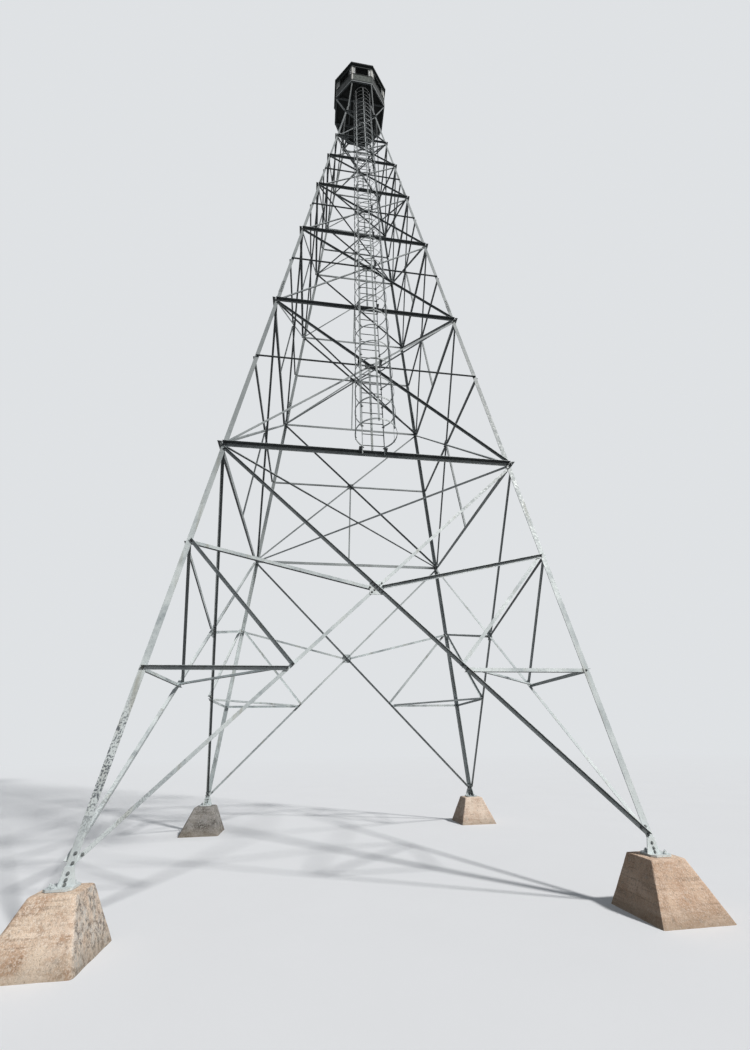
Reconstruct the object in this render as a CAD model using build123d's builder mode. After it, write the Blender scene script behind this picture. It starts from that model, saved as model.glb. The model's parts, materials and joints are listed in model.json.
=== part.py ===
from build123d import *
import os
from math import atan, cos, degrees, floor, hypot, radians, sin, sqrt, tan

os.makedirs("parts", exist_ok=True)

# Fire lookout tower, about 30 m to the cab floor. Millimetres, +Z up.
# The origin is on the ground under the middle of the tower, level with the underside of the piers.
# The front face looks along -Y and carries the ladder.

# Tower outline, heights counted from the top of the piers
HALF_BASE = 3444
TAPER = 0.0956
LEVEL_1 = 6290
LEVEL_2 = 11340
LEVEL_3 = 15450
LEVEL_4 = 19030
LEVEL_5 = 22060
LEVEL_6 = 24630
LEVEL_7 = 28280
CAB_LEVEL = 30380

# Concrete piers and steel shoes
PIER_HEIGHT = 560
PIER_TOP = 460
PIER_BASE = 920
PIER_INSET = 44
PIER_EDGE_CHAMFER = 15
SHOE_PLATE = 280
SHOE_CORNER_CUT = 45
SHOE_THICKNESS = 20
SHOE_INSET = 35
SHOE_LUG_TOP = 180
SHOE_LUG_FOOT_WIDTH = 172
SHOE_LUG_HEAD_WIDTH = 95
SHOE_LUG_THICKNESS = 10

# Leg angles: one flange width for each run, one thickness throughout
LOWER_LEG = 90
MIDDLE_LEG = 85
UPPER_LEG = 70
LEG_THICKNESS = 10
LOWER_SPLICE = LEVEL_2 + 700
UPPER_SPLICE = LEVEL_4 + 600

# Girts, the heavy level members
GIRT_FIRST = 85
GIRT_WIDTH = 78
GIRT_TOP = 65
GIRT_THICKNESS = 7
GIRT_SIDE_OVERHANG = 60
GIRT_CORNER_GAP = 14

# Diagonals, struts and their gusset plates
DIAGONAL_FIRST = 50
DIAGONAL_MIDDLE = 48
DIAGONAL_UPPER = 45
DIAGONAL_THICKNESS = 6
STRUT_LOWER = 52
STRUT_UPPER = 45
STRUT_THICKNESS = 5
BAR_CLEARANCE = 12
GUSSET_LAP = 30
FOOT_RISE = 200
LEG_EDGE = 50
SUB_STRUT_LEVEL = 2225
SUB_BRACE_LEVEL = 4206
SUB_BRACE_SPREAD = 20
SUB_BRACE_STEP = 86
INSIDE_EDGE = 68
BAR_LAP = 20
FILLER_WIDTH = 44
STRUT_FILLER = 145
BRACE_FILLER = 80
HIP_TIE_SIZE = 40
HIP_TIE_OFFSET = 85
HIP_TIE_TRIM = 80
PLAN_BRACE_SIZE = 50
PLAN_BRACE_THICKNESS = 5
PLAN_LEVELS = [LEVEL_1, LEVEL_2, LEVEL_4, LEVEL_6]

# Ladder on the front face, and its safety cage
LADDER_GAP = 135
RAIL_SPACING = 428
RAIL_DEPTH = 60
RAIL_THICKNESS = 12
RUNG_PITCH = 304.8
RUNG_DIAMETER = 20
RUNG_SIDES = 6
LADDER_START_BELOW = 150
FIRST_RUNG = 240
BRACKET_FLANGE = 60
BRACKET_THICKNESS = 8
CAGE_RADIUS = 400
CAGE_STRIP_WIDTH = 50
CAGE_STRIP_THICKNESS = 6
CAGE_SEGMENTS = 11
CAGE_START_ABOVE = 31
HOOP_PITCH = 580
CAGE_END_BELOW = 2100
STRAP_END = 50

# Cab, an octagon with one flat side to the front
FLOOR_APOTHEM = 1255
BEAM_HEIGHT = 100
BEAM_THICKNESS = 60
FLOOR_THICKNESS = 40
CAB_HEIGHT = 1920
WALL_THICKNESS = 45
WALL_SETBACK = 15
WINDOW_SILL = 800
WINDOW_HEAD = 1750
WINDOW_JAMB = 50
SIDE_LIGHT = 90
MULLION = 40
GLASS_THICKNESS = 6
HATCH_WIDTH = 620
HATCH_CLEARANCE = 25
EAVE_APOTHEM = 1343
FASCIA_HEIGHT = 60
ROOF_RISE = 420
ROOF_THICKNESS = 30
ROOF_TOP_APOTHEM = 90
CAP_HEIGHT = 70
CAP_TOP_APOTHEM = 30
KNEE_SIZE = 50
KNEE_FOOT_ABOVE = 280
KNEE_HEAD_INSET = 20
KNEE_THICKNESS = 6
KNEE_TRIM = 100

LEVELS = [0, LEVEL_1, LEVEL_2, LEVEL_3, LEVEL_4, LEVEL_5, LEVEL_6, LEVEL_7, CAB_LEVEL]
GIRT_SIZES = [GIRT_FIRST, GIRT_WIDTH, GIRT_WIDTH, GIRT_WIDTH, GIRT_WIDTH, GIRT_TOP, GIRT_TOP]
DIAGONAL_SIZES = [DIAGONAL_FIRST, DIAGONAL_MIDDLE, DIAGONAL_MIDDLE, DIAGONAL_UPPER,
                  DIAGONAL_UPPER, DIAGONAL_UPPER, DIAGONAL_UPPER]
STRUT_PANELS = [1, 2, 3, 4]
FACES = ["front", "right", "back", "left"]
SLOPE = atan(TAPER)
CORNERS = {"front_left": (-1, -1), "front_right": (1, -1), "back_right": (1, 1), "back_left": (-1, 1)}


def half_width(z):
    """Half the distance between the outer corners of two legs, z above the piers."""
    return HALF_BASE - TAPER * z


def up_face(z):
    """Distance along the sloping face for a height z above the piers."""
    return z / cos(SLOPE)


def face_plane(face, outward=0):
    """Outer surface of the leg flanges on one face: x level, y up the slope, z outwards."""
    turn = 90 * face
    normal = Vector(0, -cos(SLOPE), sin(SLOPE))
    origin = Vector(0, -HALF_BASE, PIER_HEIGHT) + normal * outward
    return Plane(
        origin=origin.rotate(Axis.Z, turn),
        x_dir=Vector(1, 0, 0).rotate(Axis.Z, turn),
        z_dir=normal.rotate(Axis.Z, turn),
    )


def angle_outline(size, thickness, out=1, side=1):
    """L section: one flange flat on the plane, the other standing out from it at one edge."""
    half = size / 2
    points = [(0, -half), (size, -half), (size, thickness - half), (thickness, thickness - half),
              (thickness, half), (0, half)]
    placed = [(out * x, side * y) for x, y in points]
    if out * side < 0:
        placed.reverse()
    Polygon(*placed, align=None)


def angle_bar(plane, start, end, size, thickness, out=1, side=1):
    """One steel angle lying on a plane from start to end, both given on that plane."""
    first = plane.from_local_coords(Vector(*start))
    last = plane.from_local_coords(Vector(*end))
    section = Plane(origin=first, x_dir=plane.z_dir, z_dir=last - first)
    with BuildSketch(section) as outline:
        angle_outline(size, thickness, out, side)
    extrude(outline.sketch, amount=(last - first).length)


def crossing_height(panel):
    """Height where the two diagonals of a panel cross."""
    low, high = panel_ends(panel)
    share = half_width(low) / (half_width(low) + half_width(high))
    return low + (high - low) * share


def panel_ends(panel):
    """Heights where the diagonals of a panel meet the legs."""
    low = FOOT_RISE if panel == 0 else LEVELS[panel] + joint_offset(panel, panel - 1)
    high = LEVELS[panel + 1] - joint_offset(panel, panel)
    return low, high


def joint_offset(panel, girt):
    """Distance from the middle of a girt to the end of a diagonal beside it."""
    return GIRT_SIZES[girt] / 2 + DIAGONAL_SIZES[panel] / 2 + BAR_CLEARANCE


def diagonal_ends(panel):
    """Left foot and right head of a rising diagonal, on the face plane."""
    low, high = panel_ends(panel)
    return (LEG_EDGE - half_width(low), up_face(low)), (half_width(high) - LEG_EDGE, up_face(high))


def crossing_reach(panel, strut):
    """How far a level strut stays from the middle of the crossing."""
    foot, head = diagonal_ends(panel)
    length = hypot(head[0] - foot[0], head[1] - foot[1])
    rise = (head[1] - foot[1]) / length
    run = (head[0] - foot[0]) / length
    return (DIAGONAL_SIZES[panel] / 2 + strut / 2 * run) / rise + BAR_CLEARANCE


def gusset_half(panel):
    """Half the side of the plate where two diagonals cross."""
    if panel == 0:
        return crossing_reach(panel, STRUT_LOWER) + BAR_CLEARANCE + GUSSET_LAP
    return crossing_reach(panel, STRUT_UPPER) + GUSSET_LAP


def sub_joint(step=0):
    """Place on the left diagonal of the first panel where a sub-strut meets it, or a step further up it."""
    foot, head = diagonal_ends(0)
    share = (up_face(SUB_STRUT_LEVEL) - foot[1]) / (head[1] - foot[1])
    share += step / hypot(head[0] - foot[0], head[1] - foot[1])
    return Vector(foot[0] + (head[0] - foot[0]) * share, foot[1] + (head[1] - foot[1]) * share)


def sub_brace_line(edge):
    """Start at the left leg and direction of the brace that falls to the diagonal."""
    start = Vector(edge - half_width(SUB_BRACE_LEVEL), up_face(SUB_BRACE_LEVEL) + SUB_BRACE_SPREAD)
    return start, (sub_joint(SUB_BRACE_STEP) - start).normalized()


# Concrete piers
def pier(corner):
    """Truncated pyramid under one leg."""
    x, y = CORNERS[corner]
    centre = HALF_BASE - PIER_INSET
    with BuildPart() as block:
        with BuildSketch(Plane((x * centre, y * centre, 0))):
            Rectangle(PIER_BASE, PIER_BASE)
        lean = degrees(atan((PIER_BASE - PIER_TOP) / 2 / PIER_HEIGHT))
        extrude(amount=PIER_HEIGHT, taper=lean)
        chamfer(block.edges().filter_by(Plane.XY, reverse=True), PIER_EDGE_CHAMFER)
    return block.part


# Leg angles
def leg_run(flange, low, high):
    """One straight run of the front left leg, its outer corner on the tower's corner line."""
    slant = sqrt(1 + 2 * TAPER**2)
    wall = LEG_THICKNESS / cos(SLOPE)
    corner = half_width(low)
    with BuildSketch(Plane((-corner, -corner, PIER_HEIGHT + low))) as outline:
        Polygon((0, 0), (flange, 0), (flange, wall), (wall, wall), (wall, flange), (0, flange), align=None)
    extrude(outline.sketch, amount=(high - low) * slant, dir=(TAPER, TAPER, 1))


with BuildPart() as front_left_leg:
    leg_run(LOWER_LEG, SHOE_THICKNESS, LOWER_SPLICE)
    leg_run(MIDDLE_LEG, LOWER_SPLICE, UPPER_SPLICE)
    leg_run(UPPER_LEG, UPPER_SPLICE, CAB_LEVEL)


# Steel shoes: a base plate with a lug on the outside of each leg flange
with BuildPart() as front_left_shoe:
    centre = SHOE_INSET - HALF_BASE
    with BuildSketch(Plane((centre, centre, PIER_HEIGHT))) as plate:
        Rectangle(SHOE_PLATE, SHOE_PLATE)
        chamfer(plate.vertices(), SHOE_CORNER_CUT)
    extrude(amount=SHOE_THICKNESS)
    foot, head = half_width(SHOE_THICKNESS), half_width(SHOE_LUG_TOP)
    low, high = up_face(SHOE_THICKNESS), up_face(SHOE_LUG_TOP)
    with BuildSketch(face_plane(0)) as front_lug:
        Polygon((-foot, low), (SHOE_LUG_FOOT_WIDTH - foot, low), (SHOE_LUG_HEAD_WIDTH - head, high),
                (-head, high), align=None)
    extrude(front_lug.sketch, amount=SHOE_LUG_THICKNESS)
    with BuildSketch(face_plane(3)) as side_lug:
        Polygon((foot, low), (head, high), (head - SHOE_LUG_HEAD_WIDTH, high),
                (foot - SHOE_LUG_FOOT_WIDTH, low), align=None)
    extrude(side_lug.sketch, amount=SHOE_LUG_THICKNESS)


with BuildPart() as base_shoes:
    with PolarLocations(0, 4):
        add(front_left_shoe.part)


# Members of one face, all drawn on the front face and turned to the others
with BuildPart() as face_diagonals:
    for panel, size in enumerate(DIAGONAL_SIZES):
        foot, head = diagonal_ends(panel)
        mirrored_foot, mirrored_head = (-foot[0], foot[1]), (-head[0], head[1])
        angle_bar(face_plane(0, -LEG_THICKNESS), foot, head, size, DIAGONAL_THICKNESS, out=-1)
        angle_bar(face_plane(0), mirrored_foot, mirrored_head, size, DIAGONAL_THICKNESS, side=-1)

with BuildPart() as face_gussets:
    for panel in range(len(DIAGONAL_SIZES)):
        half = gusset_half(panel)
        with BuildSketch(face_plane(0, -LEG_THICKNESS)):
            with Locations((0, up_face(crossing_height(panel)))):
                Rectangle(2 * half, 2 * half)
        extrude(amount=LEG_THICKNESS)
    strut_end = sub_joint()
    brace_end = sub_joint(SUB_BRACE_STEP)
    brace_way = sub_brace_line(LEG_EDGE)[1]
    brace_middle = brace_end + brace_way * (BAR_LAP - BRACE_FILLER / 2)
    lean = degrees(atan(brace_way.Y / brace_way.X))
    for side in (-1, 1):
        with BuildSketch(face_plane(0, -LEG_THICKNESS)):
            with Locations((-side * (strut_end.X + BAR_LAP - STRUT_FILLER / 2), strut_end.Y)):
                Rectangle(STRUT_FILLER, FILLER_WIDTH)
            with Locations((-side * brace_middle.X, brace_middle.Y)):
                Rectangle(BRACE_FILLER, FILLER_WIDTH, rotation=-side * lean)
        extrude(amount=LEG_THICKNESS)

with BuildPart() as face_struts:
    for panel in STRUT_PANELS:
        z = crossing_height(panel)
        inner = crossing_reach(panel, STRUT_UPPER)
        outer = half_width(z) - LEG_EDGE / 2
        for side in (-1, 1):
            angle_bar(face_plane(0), (side * outer, up_face(z)), (side * inner, up_face(z)), STRUT_UPPER,
                      STRUT_THICKNESS, side=side)
        top = up_face(z) - crossing_reach(panel, STRUT_UPPER)
        foot = up_face(LEVELS[panel]) + GIRT_SIZES[panel - 1] / 2
        angle_bar(face_plane(0), (0, foot), (0, top), STRUT_UPPER, STRUT_THICKNESS)
    # The first panel's bars lie outside or inside the leg flanges, so that each laps the diagonal it meets
    for side in (-1, 1):
        outer, inner = face_plane(0), face_plane(0, -LEG_THICKNESS)
        joint = sub_joint()
        leg_x = half_width(SUB_STRUT_LEVEL) - LEG_EDGE / 2
        lap_plane = outer if side < 0 else inner
        angle_bar(lap_plane, (side * leg_x, joint.Y), (side * (-joint.X - BAR_LAP), joint.Y), STRUT_LOWER,
                  STRUT_THICKNESS, out=-side)
        start, way = sub_brace_line(LEG_EDGE if side < 0 else INSIDE_EDGE)
        end = sub_joint(SUB_BRACE_STEP) + way * BAR_LAP
        angle_bar(lap_plane, (-side * start.X, start.Y), (-side * end.X, end.Y), STRUT_LOWER,
                  STRUT_THICKNESS, out=-side)
        tie_edge = INSIDE_EDGE if side < 0 else LEG_EDGE
        tie_x = half_width(SUB_BRACE_LEVEL) - tie_edge
        tie_y = up_face(SUB_BRACE_LEVEL) - SUB_BRACE_SPREAD
        centre_x = crossing_reach(0, STRUT_LOWER) + BAR_CLEARANCE
        angle_bar(inner if side < 0 else outer, (side * tie_x, tie_y),
                  (side * centre_x, up_face(crossing_height(0))), STRUT_LOWER, STRUT_THICKNESS, out=side,
                  side=-1)


def girts(face):
    """Level members of one face; the side faces' ones run a little past the legs."""
    past = GIRT_SIDE_OVERHANG if face % 2 else -GIRT_CORNER_GAP
    with BuildPart() as members:
        for level, size in zip(LEVELS[1:], GIRT_SIZES):
            half = half_width(level) + past
            angle_bar(face_plane(face), (-half, up_face(level)), (half, up_face(level)), size,
                      GIRT_THICKNESS)
    return members.part


# Hip ties across each corner, cut flush with the plate or strut that each end meets
with BuildPart() as hip_ties:
    corner_x = HIP_TIE_OFFSET - sub_joint().X
    tie_height = PIER_HEIGHT + SUB_STRUT_LEVEL
    for turn in range(4):
        face_distance = half_width(SUB_STRUT_LEVEL)
        middle = Vector(-(corner_x + face_distance) / 2, -(corner_x + face_distance) / 2, tie_height)
        along = Vector(1, -1, 0).normalized()
        length = (face_distance - corner_x) * sqrt(2) + HIP_TIE_TRIM
        start = (middle - along * length / 2).rotate(Axis.Z, 90 * turn)
        with BuildSketch(Plane(origin=start, x_dir=Vector(0, 0, 1), z_dir=along.rotate(Axis.Z, 90 * turn))):
            angle_outline(HIP_TIE_SIZE, STRUT_THICKNESS)
        extrude(amount=length)
    for turn in range(4):
        with Locations(face_plane(turn, -LEG_THICKNESS)):
            Box(2 * HALF_BASE, 2 * LEVEL_1, HALF_BASE / 2, align=(Align.CENTER, Align.CENTER, Align.MIN),
                mode=Mode.SUBTRACT)
        with Locations(face_plane(turn, -LEG_THICKNESS - STRUT_THICKNESS)):
            Box(HALF_BASE, 2 * LEVEL_1, HALF_BASE / 2, align=(Align.MIN, Align.CENTER, Align.MIN),
                mode=Mode.SUBTRACT)


def plan_brace(turn, stands):
    """Level braces from leg to opposite leg, their ends pointed to sit in the legs' corners."""
    with BuildPart() as braces:
        for level in PLAN_LEVELS:
            reach = half_width(level) * sqrt(2)
            start = Vector(-reach, 0, PIER_HEIGHT + level).rotate(Axis.Z, turn)
            along = Vector(1, 0, 0).rotate(Axis.Z, turn)
            with BuildSketch(Plane(origin=start, x_dir=Vector(0, 0, 1), z_dir=along)):
                angle_outline(PLAN_BRACE_SIZE, PLAN_BRACE_THICKNESS, out=stands)
            extrude(amount=2 * reach)
        for face in range(4):
            with Locations(face_plane(face, -LEG_THICKNESS)):
                Box(3 * HALF_BASE, 2 * CAB_LEVEL, HALF_BASE, align=(Align.CENTER, Align.CENTER, Align.MIN),
                    mode=Mode.SUBTRACT)
    return braces.part


# Ladder: two flat rails and few-sided rungs, parallel to the front face
rail_middle = LADDER_GAP + RAIL_DEPTH / 2
ladder_foot = up_face(LEVEL_1) - LADDER_START_BELOW
ladder_head = up_face(CAB_LEVEL) + FLOOR_THICKNESS + BEAM_HEIGHT
rail_inside = RAIL_SPACING / 2 - RAIL_THICKNESS / 2

with BuildPart() as ladder_rails:
    for side in (-1, 1):
        with BuildSketch(face_plane(0, LADDER_GAP)):
            with Locations((side * RAIL_SPACING / 2, ladder_foot)):
                Rectangle(RAIL_THICKNESS, ladder_head - ladder_foot, align=(Align.CENTER, Align.MIN))
        extrude(amount=RAIL_DEPTH)

rung_count = floor((ladder_head - ladder_foot - FIRST_RUNG) / RUNG_PITCH)
rung_heights = [ladder_foot + FIRST_RUNG + RUNG_PITCH * i for i in range(rung_count)]
with BuildPart() as ladder_rungs:
    front = face_plane(0, rail_middle)
    for height in rung_heights:
        start = front.from_local_coords(Vector(-rail_inside, height, 0))
        with BuildSketch(Plane(origin=start, x_dir=front.z_dir, z_dir=front.x_dir)):
            RegularPolygon(RUNG_DIAMETER / 2, RUNG_SIDES)
        extrude(amount=2 * rail_inside)

# Angle brackets from the girts and struts to the outside of each rail
bracket_tops = [(up_face(level) + size / 2 - GIRT_THICKNESS, GIRT_THICKNESS)
                for level, size in zip(LEVELS[1:7], GIRT_SIZES)]
strut_seat = STRUT_THICKNESS - STRUT_UPPER / 2 + BRACKET_FLANGE
bracket_tops += [(up_face(crossing_height(panel)) + strut_seat, STRUT_THICKNESS) for panel in STRUT_PANELS]
with BuildPart() as ladder_brackets:
    rail_side = (RAIL_SPACING + RAIL_THICKNESS) / 2
    for top, wall in bracket_tops:
        low = top - BRACKET_FLANGE
        under = top - BRACKET_THICKNESS
        for side in (-1, 1):
            corner = side * rail_side
            web = corner + side * BRACKET_THICKNESS
            edge = corner + side * BRACKET_FLANGE
            outline = [(corner, low), (web, low), (web, under), (edge, under), (edge, top), (corner, top)]
            with BuildSketch(face_plane(0, wall)) as section:
                Polygon(*outline[::side], align=None)
            extrude(section.sketch, amount=LADDER_GAP + RAIL_DEPTH - wall)

# Safety cage: open hoops of flat bar from rail to rail, tied by straps inside them
rail_face = LADDER_GAP + RAIL_DEPTH
cage_centre = rail_face + sqrt(CAGE_RADIUS**2 - (RAIL_SPACING / 2) ** 2)
open_angle = atan((RAIL_SPACING / 2) / (cage_centre - rail_face))
step = (2 * radians(180) - 2 * open_angle) / CAGE_SEGMENTS
cage_low = up_face(LEVEL_1) + CAGE_START_ABOVE
hoop_count = floor((up_face(CAB_LEVEL) - CAGE_END_BELOW - cage_low) / HOOP_PITCH) + 1
hoop_heights = [cage_low + HOOP_PITCH * i for i in range(hoop_count)]


def cage_point(radius, index):
    """Corner of a hoop in a section plane whose second axis points back at the tower."""
    angle = open_angle + step * index
    return radius * sin(angle), radius * cos(angle)


def hoop_plane(height):
    """Section of the cage square to its slope, centred on the hoops."""
    front = face_plane(0, cage_centre)
    return Plane(origin=front.from_local_coords(Vector(0, height, 0)), x_dir=front.x_dir, z_dir=front.y_dir)


with BuildPart() as cage_hoops:
    outer = CAGE_RADIUS + CAGE_STRIP_THICKNESS / 2
    inner = CAGE_RADIUS - CAGE_STRIP_THICKNESS / 2
    points = [cage_point(outer, i) for i in range(CAGE_SEGMENTS + 1)]
    points += [cage_point(inner, i) for i in range(CAGE_SEGMENTS, -1, -1)]
    for height in hoop_heights:
        with BuildSketch(hoop_plane(height - CAGE_STRIP_WIDTH / 2)) as outline:
            Polygon(*points, align=None)
            with Locations((0, cage_centre - rail_face)):
                Rectangle(2 * RAIL_SPACING, CAGE_RADIUS, align=(Align.CENTER, Align.MIN), mode=Mode.SUBTRACT)
        extrude(amount=CAGE_STRIP_WIDTH)

with BuildPart() as cage_straps:
    low = hoop_heights[0] - STRAP_END
    length = hoop_heights[-1] + STRAP_END - low
    apothem = (CAGE_RADIUS - CAGE_STRIP_THICKNESS / 2) * cos(step / 2)
    for index in range(1, CAGE_SEGMENTS, 2):
        angle = open_angle + step * (index + 0.5)
        plane = hoop_plane(low)
        across = (apothem - CAGE_STRIP_THICKNESS / 2)
        spot = plane.from_local_coords(Vector(across * sin(angle), across * cos(angle), 0))
        inward = plane.from_local_coords(Vector(0, 0, 0)) - spot
        with BuildSketch(Plane(origin=spot, x_dir=inward, z_dir=plane.z_dir)):
            Rectangle(CAGE_STRIP_THICKNESS, CAGE_STRIP_WIDTH)
        extrude(amount=length)


# Cab: floor framing
cab_z = PIER_HEIGHT + CAB_LEVEL
floor_z = cab_z + BEAM_HEIGHT
wall_z = floor_z + FLOOR_THICKNESS
eave_z = wall_z + CAB_HEIGHT
wall_apothem = FLOOR_APOTHEM - WALL_SETBACK
rim_inside = FLOOR_APOTHEM - BEAM_THICKNESS
beam_line = half_width(CAB_LEVEL) - UPPER_LEG / 2


def octagon(apothem, mode=Mode.ADD):
    """Octagon with one flat side to the front."""
    RegularPolygon(apothem, 8, major_radius=False, rotation=22.5, mode=mode)


with BuildPart() as floor_rim:
    with BuildSketch(Plane.XY.offset(cab_z)):
        octagon(FLOOR_APOTHEM)
        octagon(rim_inside, mode=Mode.SUBTRACT)
    extrude(amount=BEAM_HEIGHT)

with BuildPart() as floor_beams:
    with BuildSketch(Plane.XY.offset(cab_z)):
        with Locations((-beam_line, 0), (beam_line, 0)):
            Rectangle(BEAM_THICKNESS, 2 * rim_inside)
        octagon(rim_inside, mode=Mode.INTERSECT)
    extrude(amount=BEAM_HEIGHT)

with BuildPart() as cross_beams:
    with BuildSketch(Plane.XY.offset(cab_z)):
        with Locations((0, -beam_line), (0, beam_line)):
            Rectangle(2 * rim_inside, BEAM_THICKNESS)
        with Locations((-beam_line, 0), (beam_line, 0)):
            Rectangle(BEAM_THICKNESS, 2 * rim_inside, mode=Mode.SUBTRACT)
        octagon(rim_inside, mode=Mode.INTERSECT)
    extrude(amount=BEAM_HEIGHT)

with BuildPart() as cab_floor:
    with BuildSketch(Plane.XY.offset(floor_z)):
        octagon(FLOOR_APOTHEM)
        hatch_back = -half_width(CAB_LEVEL) - LADDER_GAP + HATCH_CLEARANCE
        hatch_depth = rim_inside + hatch_back
        with Locations((0, hatch_back)):
            Rectangle(HATCH_WIDTH, hatch_depth, align=(Align.CENTER, Align.MAX), mode=Mode.SUBTRACT)
    extrude(amount=FLOOR_THICKNESS)


# Cab: knee braces from the legs to the corners of the floor rim
with BuildPart() as front_knees:
    foot_height = LEVEL_7 + KNEE_FOOT_ABOVE
    foot_x = half_width(foot_height) - KNEE_SIZE
    head_x = FLOOR_APOTHEM * tan(radians(22.5)) - KNEE_HEAD_INSET
    for side in (-1, 1):
        foot = Vector(side * foot_x, -half_width(foot_height), PIER_HEIGHT + foot_height)
        head = Vector(side * head_x, BEAM_THICKNESS / 2 - FLOOR_APOTHEM, cab_z)
        along = (head - foot).normalized()
        start = foot - along * KNEE_TRIM
        with BuildSketch(Plane(origin=start, x_dir=Vector(side, 0, 0), z_dir=along)):
            angle_outline(KNEE_SIZE, KNEE_THICKNESS, out=-1)
        extrude(amount=(head - foot).length + 2 * KNEE_TRIM)
    with Locations((0, 0, cab_z)):
        Box(4 * FLOOR_APOTHEM, 4 * FLOOR_APOTHEM, CAB_HEIGHT, align=(Align.CENTER, Align.CENTER, Align.MIN),
            mode=Mode.SUBTRACT)
    with Locations(face_plane(0)):
        Box(3 * HALF_BASE, 3 * CAB_LEVEL, HALF_BASE, align=(Align.CENTER, Align.CENTER, Align.MAX),
            mode=Mode.SUBTRACT)

with BuildPart() as knee_braces:
    with PolarLocations(0, 4):
        add(front_knees.part)


# Cab: walls with a window in each
wall_inside = wall_apothem - WALL_THICKNESS
window_width = 2 * (wall_inside * tan(radians(22.5)) - WINDOW_JAMB)
window_height = WINDOW_HEAD - WINDOW_SILL
wall_centre = -(wall_apothem + wall_inside) / 2

with BuildPart() as one_wall:
    half_out = wall_apothem * tan(radians(22.5))
    half_in = wall_inside * tan(radians(22.5))
    with BuildSketch(Plane.XY.offset(wall_z)):
        Polygon((-half_out, -wall_apothem), (half_out, -wall_apothem), (half_in, -wall_inside),
                (-half_in, -wall_inside), align=None)
    extrude(amount=CAB_HEIGHT)
    with Locations((0, wall_centre, wall_z + WINDOW_SILL)):
        Box(window_width, 2 * WALL_THICKNESS, window_height, align=(Align.CENTER, Align.CENTER, Align.MIN),
            mode=Mode.SUBTRACT)

with BuildPart() as wall_lights:
    for side in (-1, 1):
        x = side * (window_width / 2 - SIDE_LIGHT / 2)
        with Locations((x, wall_centre, wall_z + WINDOW_SILL)):
            Box(SIDE_LIGHT, GLASS_THICKNESS, window_height, align=(Align.CENTER, Align.CENTER, Align.MIN))

with BuildPart() as wall_mullions:
    for side in (-1, 1):
        x = side * (window_width / 2 - SIDE_LIGHT - MULLION / 2)
        with Locations((x, wall_centre, wall_z + WINDOW_SILL)):
            Box(MULLION, WALL_THICKNESS, window_height, align=(Align.CENTER, Align.CENTER, Align.MIN))

with BuildPart() as window_glass:
    with PolarLocations(0, 8):
        add(wall_lights.part)

with BuildPart() as window_mullions:
    with PolarLocations(0, 8):
        add(wall_mullions.part)


# Cab: low eight-sided roof, open underneath
roof_lean = degrees(atan((EAVE_APOTHEM - ROOF_TOP_APOTHEM) / ROOF_RISE))
roof_foot = eave_z + FASCIA_HEIGHT
roof_top = roof_foot + ROOF_RISE
hollow_rise = ROOF_RISE * (wall_inside - ROOF_TOP_APOTHEM) / (EAVE_APOTHEM - ROOF_TOP_APOTHEM)
hollow_foot = roof_top - hollow_rise - ROOF_THICKNESS

with BuildPart() as roof:
    with BuildSketch(Plane.XY.offset(eave_z)):
        octagon(EAVE_APOTHEM)
    extrude(amount=FASCIA_HEIGHT)
    with BuildSketch(Plane.XY.offset(roof_foot)):
        octagon(EAVE_APOTHEM)
    extrude(amount=ROOF_RISE, taper=roof_lean)
    with BuildSketch(Plane.XY.offset(eave_z)):
        octagon(wall_inside)
    extrude(amount=hollow_foot - eave_z, mode=Mode.SUBTRACT)
    with BuildSketch(Plane.XY.offset(hollow_foot)):
        octagon(wall_inside)
    extrude(amount=hollow_rise, taper=roof_lean, mode=Mode.SUBTRACT)

with BuildPart() as roof_cap:
    with BuildSketch(Plane.XY.offset(roof_top)):
        octagon(ROOF_TOP_APOTHEM)
    extrude(amount=CAP_HEIGHT, taper=degrees(atan((ROOF_TOP_APOTHEM - CAP_TOP_APOTHEM) / CAP_HEIGHT)))


# Labels and STEP files, one for each named piece
def write(part, name):
    """Names a finished piece and writes it."""
    part.label = name
    export_step(part, f"parts/{name}.step")


for corner in CORNERS:
    write(pier(corner), f"pier_{corner}")
for turn, corner in enumerate(CORNERS):
    write(front_left_leg.part.rotate(Axis.Z, 90 * turn), f"leg_{corner}")
write(base_shoes.part, "base_shoes")
for turn, face in enumerate(FACES):
    write(girts(turn), f"{face}_girts")
    write(face_diagonals.part.rotate(Axis.Z, 90 * turn), f"{face}_diagonals")
    write(face_struts.part.rotate(Axis.Z, 90 * turn), f"{face}_struts")
    write(face_gussets.part.rotate(Axis.Z, 90 * turn), f"{face}_gusset_plates")
write(hip_ties.part, "hip_ties")
write(plan_brace(45, 1), "plan_braces_rising")
write(plan_brace(135, -1), "plan_braces_falling")
write(ladder_rails.part, "ladder_rails")
write(ladder_rungs.part, "ladder_rungs")
write(ladder_brackets.part, "ladder_brackets")
write(cage_hoops.part, "cage_hoops")
write(cage_straps.part, "cage_straps")
write(floor_rim.part, "floor_rim")
write(floor_beams.part, "floor_beams")
write(cross_beams.part, "cross_beams")
write(cab_floor.part, "cab_floor")
write(knee_braces.part, "knee_braces")
WALL_NAMES = ["front", "front_right", "right", "back_right", "back", "back_left", "left", "front_left"]
for turn, name in enumerate(WALL_NAMES):
    write(one_wall.part.rotate(Axis.Z, 45 * turn), f"cab_wall_{name}")
write(window_mullions.part, "window_mullions")
write(window_glass.part, "window_glass")
write(roof.part, "roof")
write(roof_cap.part, "roof_cap")
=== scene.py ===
import bpy
import json
import math
from mathutils import Matrix, Vector, noise


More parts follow.
